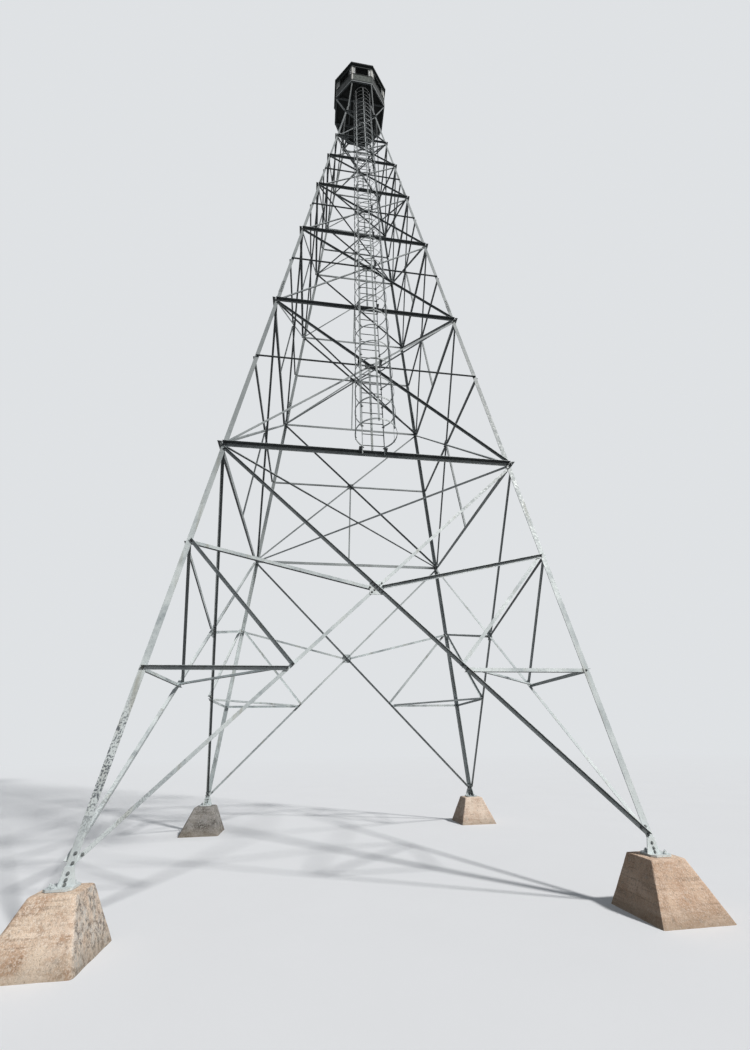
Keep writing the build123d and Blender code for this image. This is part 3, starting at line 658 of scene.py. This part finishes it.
def diagonal_bolts(piece, face, panel):
    """Bolts at the ends of both diagonals and where they cross."""
    foot, head = diagonal_ends(panel)
    along = (head - foot).normalized()
    down = Vector((along.y, -along.x)) * DIAGONAL_THICKNESS / 2
    strut = STRUT_LOWER if panel == 0 else STRUT_UPPER
    reach = (crossing_reach(panel, strut) + GUSSET_LAP - END_BOLT) / max(along)
    middle = foot - along * (foot.x / along.x)
    first = FOOT_BOLT if panel == 0 else END_BOLT
    spots = [(foot + along * first, False), (head - along * END_BOLT, False)]
    spots += [(middle + along * part * reach, False) for part in (-1, -0.5, 0.5, 1)]
    if panel == 0:
        spots.append((foot + along * SECOND_FOOT_BOLT, True))
    for spot, beside_leg in spots:
        place = spot + down
        front, back = (-LEG_THICKNESS, 0.0) if beside_leg else (0.0, -LEG_THICKNESS)
        face_bolt(piece, face, place.x, place.y, front, -LEG_THICKNESS - DIAGONAL_THICKNESS)
        face_bolt(piece, face, -place.x, place.y, DIAGONAL_THICKNESS, back)
    face_bolt(piece, face, middle.x, middle.y, DIAGONAL_THICKNESS, -LEG_THICKNESS - DIAGONAL_THICKNESS)


def lapped_bolt(piece, face, side, place, over_diagonal):
    """Bolt through a bar that lies outside the leg flange on the left and inside it on the right."""
    bar, diagonal = STRUT_THICKNESS, DIAGONAL_THICKNESS if over_diagonal else 0.0
    front, back = (bar, -LEG_THICKNESS - diagonal) if side < 0 else (diagonal, -LEG_THICKNESS - bar)
    face_bolt(piece, face, -side * place.x, place.y, front, back)


def sub_bolts(piece, face):
    """Bolts of the first panel's struts and braces."""
    joint, step = sub_joint(), sub_joint(SUB_BRACE_STEP)
    start = Vector((LEG_EDGE - half_width(SUB_BRACE_LEVEL), up_face(SUB_BRACE_LEVEL) + SUB_BRACE_SPREAD))
    way = (step - start).normalized()
    leg_end = Vector((LEG_BOLT - half_width(SUB_STRUT_LEVEL), joint.y))
    centre = Vector((-crossing_reach(0, STRUT_LOWER) - BAR_CLEARANCE, up_face(crossing_height(0))))
    tie = Vector((LEG_EDGE - half_width(SUB_BRACE_LEVEL), up_face(SUB_BRACE_LEVEL) - SUB_BRACE_SPREAD))
    to_centre = (centre - tie).normalized()
    for side in (-1, 1):
        lapped_bolt(piece, face, side, leg_end, False)
        lapped_bolt(piece, face, side, start + way * SUB_BRACE_BOLT, False)
        lapped_bolt(piece, face, side, joint, True)
        lapped_bolt(piece, face, side, step, True)
        for spot in (tie + to_centre * SUB_BRACE_BOLT, centre - to_centre * CENTRE_BOLT):
            lapped_bolt(piece, face, -side, Vector((-spot.x, spot.y)), False)


def strut_bolts(piece, face):
    """Bolts of the level struts and of the upright below each crossing."""
    for panel in STRUT_PANELS:
        z = crossing_height(panel)
        reach = crossing_reach(panel, STRUT_UPPER)
        v = up_face(z) + STRUT_THICKNESS / 2
        for side in (-1, 1):
            for u in (half_width(z) - LEG_BOLT, reach + STRUT_BOLT):
                face_bolt(piece, face, side * u, v, STRUT_THICKNESS, -LEG_THICKNESS)
        foot = up_face(z) - reach - STRUT_BOLT
        face_bolt(piece, face, STRUT_THICKNESS / 2, foot, STRUT_THICKNESS, -LEG_THICKNESS)


def girt_bolts(piece, face):
    """Two bolts at each end of each girt."""
    for level, size in zip(LEVELS[1:], GIRT_SIZES):
        v = up_face(level) - GIRT_THICKNESS / 2
        for inset in (GIRT_BOLT, GIRT_BOLT + size / 2):
            for side in (-1, 1):
                u = side * (half_width(level) - inset)
                face_bolt(piece, face, u, v, GIRT_THICKNESS, -LEG_THICKNESS)


def make_bolts():
    """All structural bolts, one piece for each face."""
    for face, name in enumerate(FACES):
        piece = Piece()
        for panel in range(len(DIAGONAL_SIZES)):
            diagonal_bolts(piece, face, panel)
        sub_bolts(piece, face)
        strut_bolts(piece, face)
        girt_bolts(piece, face)
        piece.finish(f"{name}_bolts", BOLT_STEEL, "galvanised_steel")


def make_splices():
    """Cover plates with bolts where the legs change size."""
    piece, bolts = Piece(), Piece()
    for face in range(4):
        for z, flange in SPLICES:
            v = up_face(z)
            foot, head = v - SPLICE_HALF_LENGTH, v + SPLICE_HALF_LENGTH
            low, high = half_width(z - SPLICE_HALF_LENGTH), half_width(z + SPLICE_HALF_LENGTH)
            for side in (-1, 1):
                outline = [(side * low, foot), (side * (low - flange), foot),
                           (side * (high - flange), head), (side * high, head)]
                piece.plate(face_frame(face), outline[::-side], 0.0, SPLICE_THICKNESS)
                for rise in SPLICE_BOLTS:
                    u = side * (half_width(z + rise) - flange * 0.55)
                    face_bolt(bolts, face, u, v + rise, SPLICE_THICKNESS, -LEG_THICKNESS)
    piece.finish("leg_splices", STEEL, "galvanised_steel")
    bolts.finish("splice_bolts", BOLT_STEEL, "galvanised_steel")


def make_shoe_bolts():
    """Anchor rods with nuts on the shoe plates, and a row of bolts up each shoe lug and leg foot."""
    anchors, lugs = Piece(), Piece()
    centre = HALF_BASE - SHOE_INSET
    top = PIER_HEIGHT + SHOE_PLATE
    for x, y in CORNERS.values():
        for dx, dy in ANCHOR_SPOTS:
            place = Matrix.Translation((x * (centre + dx), y * (centre + dy), top))
            anchors.lathe(place, ANCHOR_WASHER, 14)
            anchors.lathe(place, ANCHOR_NUT, 6, dx * 9)
            anchors.lathe(place, ANCHOR_ROD, 10)
    for face in range(4):
        for side in (-1, 1):
            for z, inset in SHOE_BOLTS:
                outer = SHOE_LUG if z < SHOE_LUG_TOP else 0.0
                face_bolt(lugs, face, side * (half_width(z) - inset), up_face(z), outer, -LEG_THICKNESS)
    anchors.finish("anchor_bolts", STEEL, "galvanised_steel")
    lugs.finish("shoe_bolts", BOLT_STEEL, "galvanised_steel")


# Ladder and its cage
def make_ladder():
    """Round rungs through the rails, with a weld ring on the inner face of each rail."""
    piece = Piece()
    half = (RAIL_SPACING + RAIL_THICKNESS) / 2 + RUNG_END
    inside = (RAIL_SPACING - RAIL_THICKNESS) / 2
    rung = [(RUNG_RADIUS, 0.0), (RUNG_RADIUS, half), (0.8 * RUNG_RADIUS, half + 0.002)]
    for i in range(RUNG_COUNT):
        place = face_frame(0, 0.0, FIRST_RUNG + RUNG_PITCH * i, LADDER_GAP + RAIL_DEPTH / 2)
        for side in (-1, 1):
            outward = Matrix.Rotation(side * math.pi / 2, 4, "Y")
            inward = Matrix.Rotation(-side * math.pi / 2, 4, "Y")
            piece.lathe(place @ outward, rung, 12)
            piece.lathe(place @ Matrix.Translation((side * inside, 0, 0)) @ inward, WELD_RING, 12)
    piece.finish("round_rungs", CAGE_STEEL, "galvanised_steel", smooth=True, replaces=("ladder_rungs",))


def cage_spot(radius, angle):
    """Place in a hoop's plane: across the ladder, and out from the face."""
    return radius * math.sin(angle), CAGE_CENTRE - radius * math.cos(angle)


def add_hoop(hoops, low, high):
    """Flat-bar ring, open at the ladder, between two heights up the face."""
    inner, outer = CAGE_RADIUS - CAGE_STRIP_THICKNESS / 2, CAGE_RADIUS + CAGE_STRIP_THICKNESS / 2
    points, faces = [], []
    for i in range(HOOP_SEGMENTS + 1):
        angle = OPEN_ANGLE + CAGE_SWEEP * i / HOOP_SEGMENTS
        for radius in (inner, outer):
            u, w = cage_spot(radius, angle)
            points += [(u, low, w), (u, high, w)]
    for k in range(HOOP_SEGMENTS):
        a, b = 4 * k, 4 * k + 4
        faces += [[a, a + 1, b + 1, b], [a + 3, a + 2, b + 2, b + 3]]
        faces += [[a + 1, a + 3, b + 3, b + 1], [a + 2, a, b, b + 2]]
    faces += [[0, 2, 3, 1], [4 * HOOP_SEGMENTS + n for n in (0, 1, 3, 2)]]
    hoops.add(face_frame(0), points, faces)


def make_hoops(bolts):
    """Rolled flat-bar hoops with tabs bolted to the outsides of the rails."""
    hoops = Piece()
    rail_side = (RAIL_SPACING + RAIL_THICKNESS) / 2
    tab_low, tab_high = LADDER_GAP + HOOP_TAB, LADDER_GAP + RAIL_DEPTH + HOOP_TAB
    for i in range(HOOP_COUNT):
        v = FIRST_HOOP + HOOP_PITCH * i
        low, high = v - CAGE_STRIP / 2, v + CAGE_STRIP / 2
        add_hoop(hoops, low, high)
        for side in (-1, 1):
            outside = side * (rail_side + CAGE_STRIP_THICKNESS)
            left, right = sorted((side * rail_side, outside))
            hoops.block(face_frame(0), (left, low, tab_low), (right, high, tab_high))
            head = face_frame(0, outside, v, LADDER_GAP + HOOP_BOLT)
            nut = face_frame(0, side * (rail_side - RAIL_THICKNESS), v, LADDER_GAP + HOOP_BOLT)
            outward = Matrix.Rotation(side * math.pi / 2, 4, "Y")
            inward = Matrix.Rotation(-side * math.pi / 2, 4, "Y")
            bolt(bolts, head @ outward, nut @ inward, 0.3 * i)
    hoops.finish("rolled_hoops", CAGE_STEEL, "galvanised_steel", smooth=True, replaces=("cage_hoops",))


def make_straps(bolts):
    """Upright flat bars riveted inside the hoops."""
    straps = Piece()
    half, thick = CAGE_STRIP / 2, CAGE_STRIP_THICKNESS
    low = FIRST_HOOP - STRAP_END
    high = FIRST_HOOP + HOOP_PITCH * (HOOP_COUNT - 1) + STRAP_END
    for index in range(1, CAGE_SEGMENTS, 2):
        angle = OPEN_ANGLE + CAGE_SWEEP * (index + 0.5) / CAGE_SEGMENTS
        u, w = cage_spot(CAGE_RADIUS - thick - STRAP_GAP, angle)
        turned = face_frame(0, u, 0.0, w) @ Matrix.Rotation(angle, 4, "Y")
        straps.block(turned, (-half, low, -thick / 2), (half, high, thick / 2))
        for i in range(HOOP_COUNT):
            v = FIRST_HOOP + HOOP_PITCH * i
            inward = turned @ Matrix.Translation((0, v, thick / 2))
            outward = turned @ Matrix.Translation((0, v, -1.5 * thick - 0.001))
            bolts.lathe(inward, STRAP_RIVET, 10)
            bolts.lathe(outward @ Matrix.Rotation(math.pi, 4, "X"), STRAP_NUT, 6, 0.2 * i)
    straps.finish("bolted_straps", CAGE_STEEL, "galvanised_steel", replaces=("cage_straps",))


def make_cage():
    """Hoops and straps with the bolts and rivets that hold them."""
    bolts = Piece()
    make_hoops(bolts)
    make_straps(bolts)
    bolts.finish("cage_bolts", BOLT_STEEL, "galvanised_steel")


# Concrete piers
def pier_profile(rim):
    """Half widths and heights up a pier's side, round its top edge and in over its top."""
    lean = (PIER_BASE - PIER_TOP) / 2 / PIER_HEIGHT
    top = PIER_TOP / 2
    foot = PIER_HEIGHT - rim
    profile = []
    for k in range(PIER_RINGS + 1):
        profile.append((PIER_BASE / 2 - lean * foot * k / PIER_RINGS, foot * k / PIER_RINGS, 0.0))
    for k in range(1, RIM_RINGS + 1):
        t = k / RIM_RINGS
        half = (1 - t) ** 2 * (top + lean * rim) + 2 * t * (1 - t) * top + t * t * (top - rim)
        rise = (1 - t) ** 2 * foot + (1 - (1 - t) ** 2) * PIER_HEIGHT
        profile.append((half, rise, t))
    profile += [((top - rim) * part, PIER_HEIGHT, 1.0) for part in (0.9, 0.75, 0.5, 0.25)]
    return profile


def rounded(a, b, half, corner):
    """Point of a square with rounded corners, a and b from -1 to 1 on the plain square."""
    corner = min(corner, half * 0.8)
    x, y = a * half, b * half
    core = half - corner
    inner = Vector((max(-core, min(core, x)), max(-core, min(core, y))))
    away = Vector((x, y)) - inner
    return inner + away.normalized() * corner if away.length > 0 else Vector((x, y))


def worn(x, y, z, over, half, seed, wear):
    """Moves a pier's surface point inwards: rough faces, board marks and chipped edges."""
    place = Vector((x, y, z)) * 5.0 + Vector((seed, seed * 0.7, 0))
    coarse = 0.5 + 0.5 * noise.noise(place)
    middle = 0.5 + 0.5 * noise.noise(place * 3.1)
    fine = 0.5 + 0.5 * noise.noise(place * 9.0)
    board = 0.5 + 0.5 * noise.noise(Vector((seed, 0.0, math.floor(z / FORM_BOARD) * 3.3)))
    near_edge = max(0.0, min(1.0, (half - 0.1) / 0.1))
    cut = (COARSE_WEAR * wear * coarse + MIDDLE_WEAR * middle + FINE_WEAR * fine) * near_edge
    side = 1 - over
    reach = math.hypot(x, y)
    scale = 1 - side * (cut + FORM_BOARD_STEP * board) / max(reach, 0.05)
    return Vector((x * scale, y * scale, z - over * cut))


def square_path(steps):
    """Places round a square from -1 to 1, starting at its front left corner."""
    path = [(-1 + 2 * i / steps, -1) for i in range(steps)]
    path += [(1, -1 + 2 * i / steps) for i in range(steps)]
    path += [(1 - 2 * i / steps, 1) for i in range(steps)]
    path += [(-1, 1 - 2 * i / steps) for i in range(steps)]
    return path


def make_piers():
    """Cast piers with worn edges, one for each plain pier of the frame."""
    looks = {"front_left": (WORN_CONCRETE, 2.2), "front_right": (TAN_CONCRETE, 0.8),
             "back_right": (PALE_CONCRETE, 1.2), "back_left": (GREY_CONCRETE, 2.0)}
    path = square_path(PIER_STEPS)
    count = len(path)
    for number, (corner, (sx, sy)) in enumerate(CORNERS.items()):
        centre = Vector((sx * (HALF_BASE - PIER_INSET), sy * (HALF_BASE - PIER_INSET), 0.0))
        seed = 11.0 + 7.0 * number
        material, wear = looks[corner]
        profile = pier_profile(RIM_WEAR * wear + RIM_LEAST)
        points, faces = [], []
        for half, z, over in profile:
            for a, b in path:
                x, y = rounded(a, b, half, CORNER_WEAR * wear + RIM_LEAST)
                points.append(centre + worn(x, y, z, over, half, seed, wear))
        last = (len(profile) - 1) * count
        for k in range(0, last, count):
            for i in range(count):
                j = (i + 1) % count
                faces.append([k + i, k + j, k + count + j, k + count + i])
        faces.append([last + i for i in range(count)])
        faces.append(list(range(count))[::-1])
        piece = Piece()
        piece.add(Matrix.Identity(4), points, faces)
        piece.finish(f"cast_pier_{corner}", material, "concrete", smooth=True, replaces=(f"pier_{corner}",))


# Cab
def add_boards(boards, place, half):
    """Upright boards below and above one window."""
    pitch = 2 * (half - BOARD_MARGIN) / BOARD_COUNT
    for i in range(BOARD_COUNT):
        left = -half + BOARD_MARGIN + pitch * i + BOARD_GAP / 2
        right = left + pitch - BOARD_GAP
        thick = BOARD_THICKNESS - BOARD_STEP * (i % 2)
        boards.block(place, (left, 0.0, 0.0), (right, WINDOW_SILL - SILL_HEIGHT, thick))
        boards.block(place, (left, WINDOW_HEAD + HEAD_HEIGHT, 0.0), (right, WALL_HEIGHT - TOP_RAIL, thick))


def add_corner_board(trim, sashes, place, half, side, pale_foot):
    """Board down one corner of a wall, pale from a given height up to near the window's head."""
    inner = half - CORNER_BOARD
    stops = ((trim, 0.0, pale_foot), (sashes, pale_foot, PALE_HEAD), (trim, PALE_HEAD, WALL_TOP))
    for piece, low, high in stops:
        outline = [(side * inner, low), (side * half, low), (side * half, high), (side * inner, high)]
        piece.plate(place, outline[::side], 0.0, CORNER_THICKNESS)


def add_side_light(trim, sashes, place, side):
    """Jamb, rails, middle bar and stiles round one side light."""
    jamb = side * (WINDOW_HALF + JAMB_LAP)
    low, high = sorted((jamb, jamb - side * JAMB))
    trim.block(place, (low, WINDOW_SILL, JAMB_DEPTHS[0]), (high, WINDOW_HEAD, JAMB_DEPTHS[1]))
    inner, outer = side * (WINDOW_HALF - SIDE_LIGHT), side * (WINDOW_HALF - JAMB + JAMB_LAP)
    back, front = SASH_DEPTHS
    low, high = sorted((inner, outer))
    for v in (WINDOW_SILL + SASH_GAP, WINDOW_HEAD - SASH_GAP - SASH_RAIL):
        sashes.block(place, (low, v, back), (high, v + SASH_RAIL, front))
    middle = (WINDOW_SILL + WINDOW_HEAD) / 2
    sashes.block(place, (low, middle - BAR_HALF, BAR_DEPTHS[0]), (high, middle + BAR_HALF, BAR_DEPTHS[1]))
    for edge, other in ((inner, inner + side * SASH_STILE), (outer, outer - side * SASH_STILE)):
        low, high = sorted((edge, other))
        sashes.block(place, (low, WINDOW_SILL + SASH_RAIL, back), (high, WINDOW_HEAD - SASH_RAIL, front))


def make_walls():
    """Upright boards, corner boards, sills, heads and sashes on every wall."""
    boards, trim, sashes = Piece(), Piece(), Piece()
    half = WALL_APOTHEM * EIGHTH
    sill_half = (WALL_APOTHEM + SILL_OVERHANG) * EIGHTH
    skirting_front = BOARD_THICKNESS + SKIRTING_THICKNESS
    below_sill = WINDOW_SILL - SILL_HEIGHT
    sill_back, sill_front = SILL_DEPTHS
    for wall in range(8):
        place = wall_frame(wall)
        add_boards(boards, place, half)
        for side in (-1, 1):
            pale_foot = SKIRTING if (wall, side) == (0, -1) else below_sill
            add_corner_board(trim, sashes, place, half, side, pale_foot)
            add_side_light(trim, sashes, place, side)
        trim.block(place, (-sill_half, below_sill, sill_back), (sill_half, WINDOW_SILL, sill_front))
        trim.block(place, (-half, WINDOW_HEAD, 0.0), (half, WINDOW_HEAD + HEAD_HEIGHT, HEAD_THICKNESS))
        trim.block(place, (-half, WALL_HEIGHT - TOP_RAIL, 0.0), (half, WALL_TOP, TOP_RAIL_THICKNESS))
        trim.block(place, (-half, 0.0, BOARD_THICKNESS), (half, SKIRTING, skirting_front))
    boards.finish("wall_boarding", WALL_BOARDS, "wall_boards")
    trim.finish("wall_trim", TRIM_PAINT, "wall_boards")
    sashes.finish("window_sashes", FRAME_PAINT, "window_frames")


def roof_spot(apothem, across):
    """Point of the front roof facet."""
    share = (EAVE_APOTHEM - apothem) / (EAVE_APOTHEM - ROOF_TOP_APOTHEM)
    return Vector((across, -apothem, ROOF_FOOT + (ROOF_TOP - ROOF_FOOT) * share))


def strip(piece, turn, start, end, width, height):
    """Raised strip from one point to another on a roof facet, square to its slope."""
    along = (end - start).normalized()
    side = along.cross(Vector((0, 0, 1))).normalized()
    up = side.cross(along)
    matrix = Matrix((side, along, up)).transposed().to_4x4()
    place = Matrix.Rotation(turn, 4, "Z") @ Matrix.Translation(start) @ matrix
    length = (end - start).length
    outline = [(-width / 2, 0.0), (width / 2, 0.0), (width / 2, length), (-width / 2, length)]
    piece.plate(place, outline, -SEAM_SUNK, height)


def make_roof():
    """Standing seams, hip caps, an eaves drip and soffit boards on the roof."""
    seams, edge = Piece(), Piece()
    for wall in range(8):
        turn = wall * math.pi / 4
        for across in SEAMS:
            top = max(ROOF_TOP_APOTHEM, abs(across) / EIGHTH)
            foot, head = roof_spot(EAVE_APOTHEM, across), roof_spot(top, across)
            strip(seams, turn, foot, head, SEAM_WIDTH, SEAM_HEIGHT)
        half = EAVE_APOTHEM * EIGHTH
        foot, head = roof_spot(EAVE_APOTHEM, half), roof_spot(ROOF_TOP_APOTHEM, ROOF_TOP_APOTHEM * EIGHTH)
        strip(seams, turn, foot, head, HIP_WIDTH, HIP_HEIGHT)
        place = Matrix.Rotation(turn, 4, "Z")
        edge.block(place, (-half, -EAVE_APOTHEM - DRIP_WIDTH, ROOF_FOOT - DRIP_HEIGHT),
                   (half, -EAVE_APOTHEM, ROOF_FOOT))
        for k in range(3):
            inner = SOFFIT_START + SOFFIT_PITCH * k
            reach = inner * EIGHTH
            edge.block(place, (-reach, -inner - SOFFIT_BOARD, EAVE_Z - SOFFIT_THICKNESS),
                       (reach, -inner, EAVE_Z))
    seams.finish("roof_seams", ROOF_SHEET, "roof_sheet")
    edge.finish("eaves_trim", TRIM_PAINT, "roof_sheet")


# Stage, light and camera
def seen_directly(tree):
    """1 where the camera, a reflection or a view through glass sees the surface."""
    path = tree.nodes.new("ShaderNodeLightPath")
    total = path.outputs["Is Camera Ray"]
    for name in ("Is Glossy Ray", "Is Transmission Ray"):
        add = tree.nodes.new("ShaderNodeMath")
        add.operation = "MAXIMUM"
        tree.links.new(total, add.inputs[0])
        tree.links.new(path.outputs[name], add.inputs[1])
        total = add.outputs["Value"]
    return total


def make_stage():
    """Pale floor that keeps the tower's shadow and runs out into the background."""
    sides = 96
    mesh = bpy.data.meshes.new("studio_floor")
    angles = [2 * math.pi * i / sides for i in range(sides)]
    ring = [(FLOOR_RADIUS * math.cos(angle), FLOOR_RADIUS * math.sin(angle), 0.0) for angle in angles]
    mesh.from_pydata(ring, [], [list(range(sides))])
    floor = bpy.data.objects.new("studio_floor", mesh)
    bpy.context.scene.collection.objects.link(floor)
    paint = Paint("studio_floor")
    tree = paint.tree
    seen = seen_directly(tree)
    grain = paint.share(paint.noise(0.6, 3), 0.3, 0.7)
    pale = paint.blend(grain, FLOOR_SEEN, tuple(0.985 * value for value in FLOOR_SEEN))
    paint.feed(paint.shader.inputs["Base Color"], paint.blend(seen, FLOOR_LIT, pale))
    paint.shader.inputs["Roughness"].default_value = 0.9
    paint.shader.inputs["Specular IOR Level"].default_value = 0.1
    distance = paint.away((0.0, 0.0, 0.0))
    fade = paint.math("MULTIPLY", paint.share(distance, FADE_FROM, FADE_TO), seen)
    glow = paint.node("ShaderNodeEmission")
    glow.inputs["Color"].default_value = (*BACKGROUND, 1.0)
    mix = paint.node("ShaderNodeMixShader")
    paint.feed(mix.inputs["Fac"], fade)
    paint.feed(mix.inputs[1], paint.shader.outputs["BSDF"])
    paint.feed(mix.inputs[2], glow.outputs["Emission"])
    paint.feed(tree.nodes["Material Output"].inputs["Surface"], mix.outputs["Shader"])
    mesh.materials.append(paint.material)


def make_light():
    """Even world light and one broad sun from the front right."""
    world = bpy.data.worlds.new("studio_world")
    bpy.context.scene.world = world
    world.use_nodes = True
    tree = world.node_tree
    tree.nodes.clear()
    soft = tree.nodes.new("ShaderNodeBackground")
    soft.inputs["Color"].default_value = (*WORLD_COLOUR, 1.0)
    soft.inputs["Strength"].default_value = WORLD_STRENGTH
    pale = tree.nodes.new("ShaderNodeBackground")
    pale.inputs["Color"].default_value = (*BACKGROUND, 1.0)
    pale.inputs["Strength"].default_value = 1.0
    mix = tree.nodes.new("ShaderNodeMixShader")
    output = tree.nodes.new("ShaderNodeOutputWorld")
    tree.links.new(seen_directly(tree), mix.inputs["Fac"])
    tree.links.new(soft.outputs["Background"], mix.inputs[1])
    tree.links.new(pale.outputs["Background"], mix.inputs[2])
    tree.links.new(mix.outputs["Shader"], output.inputs["Surface"])
    lamp = bpy.data.lights.new("studio_sun", "SUN")
    lamp.energy = SUN_STRENGTH
    lamp.angle = SUN_ANGLE
    lamp.color = SUN_COLOUR
    sun = bpy.data.objects.new("studio_sun", lamp)
    bpy.context.scene.collection.objects.link(sun)
    sun.rotation_euler = Vector(SUN_SIDE).to_track_quat("Z", "Y").to_euler()


def make_camera():
    """Camera at the photo's viewing angle, close to the ground and tilted up."""
    ahead = Vector((math.sin(CAMERA_YAW), math.cos(CAMERA_YAW), 0.0))
    forward = math.cos(CAMERA_PITCH) * ahead + Vector((0.0, 0.0, math.sin(CAMERA_PITCH)))
    level = Vector((ahead.y, -ahead.x, 0.0))
    upward = level.cross(forward)
    right = math.cos(CAMERA_ROLL) * level + math.sin(CAMERA_ROLL) * upward
    up = math.cos(CAMERA_ROLL) * upward - math.sin(CAMERA_ROLL) * level
    data = bpy.data.cameras.new("photo_camera")
    data.sensor_width = 36.0
    data.lens = CAMERA_LENS
    data.clip_end = 1000.0
    camera = bpy.data.objects.new("photo_camera", data)
    bpy.context.scene.collection.objects.link(camera)
    place = Matrix((right, up, -forward)).transposed().to_4x4()
    place.translation = Vector(CAMERA_PLACE)
    camera.matrix_world = place
    bpy.context.scene.camera = camera


dress_frame()
make_bolts()
make_splices()
make_shoe_bolts()
make_ladder()
make_cage()
make_piers()
make_walls()
make_roof()
make_stage()
make_light()
make_camera()
bpy.context.scene.view_settings.view_transform = "Standard"
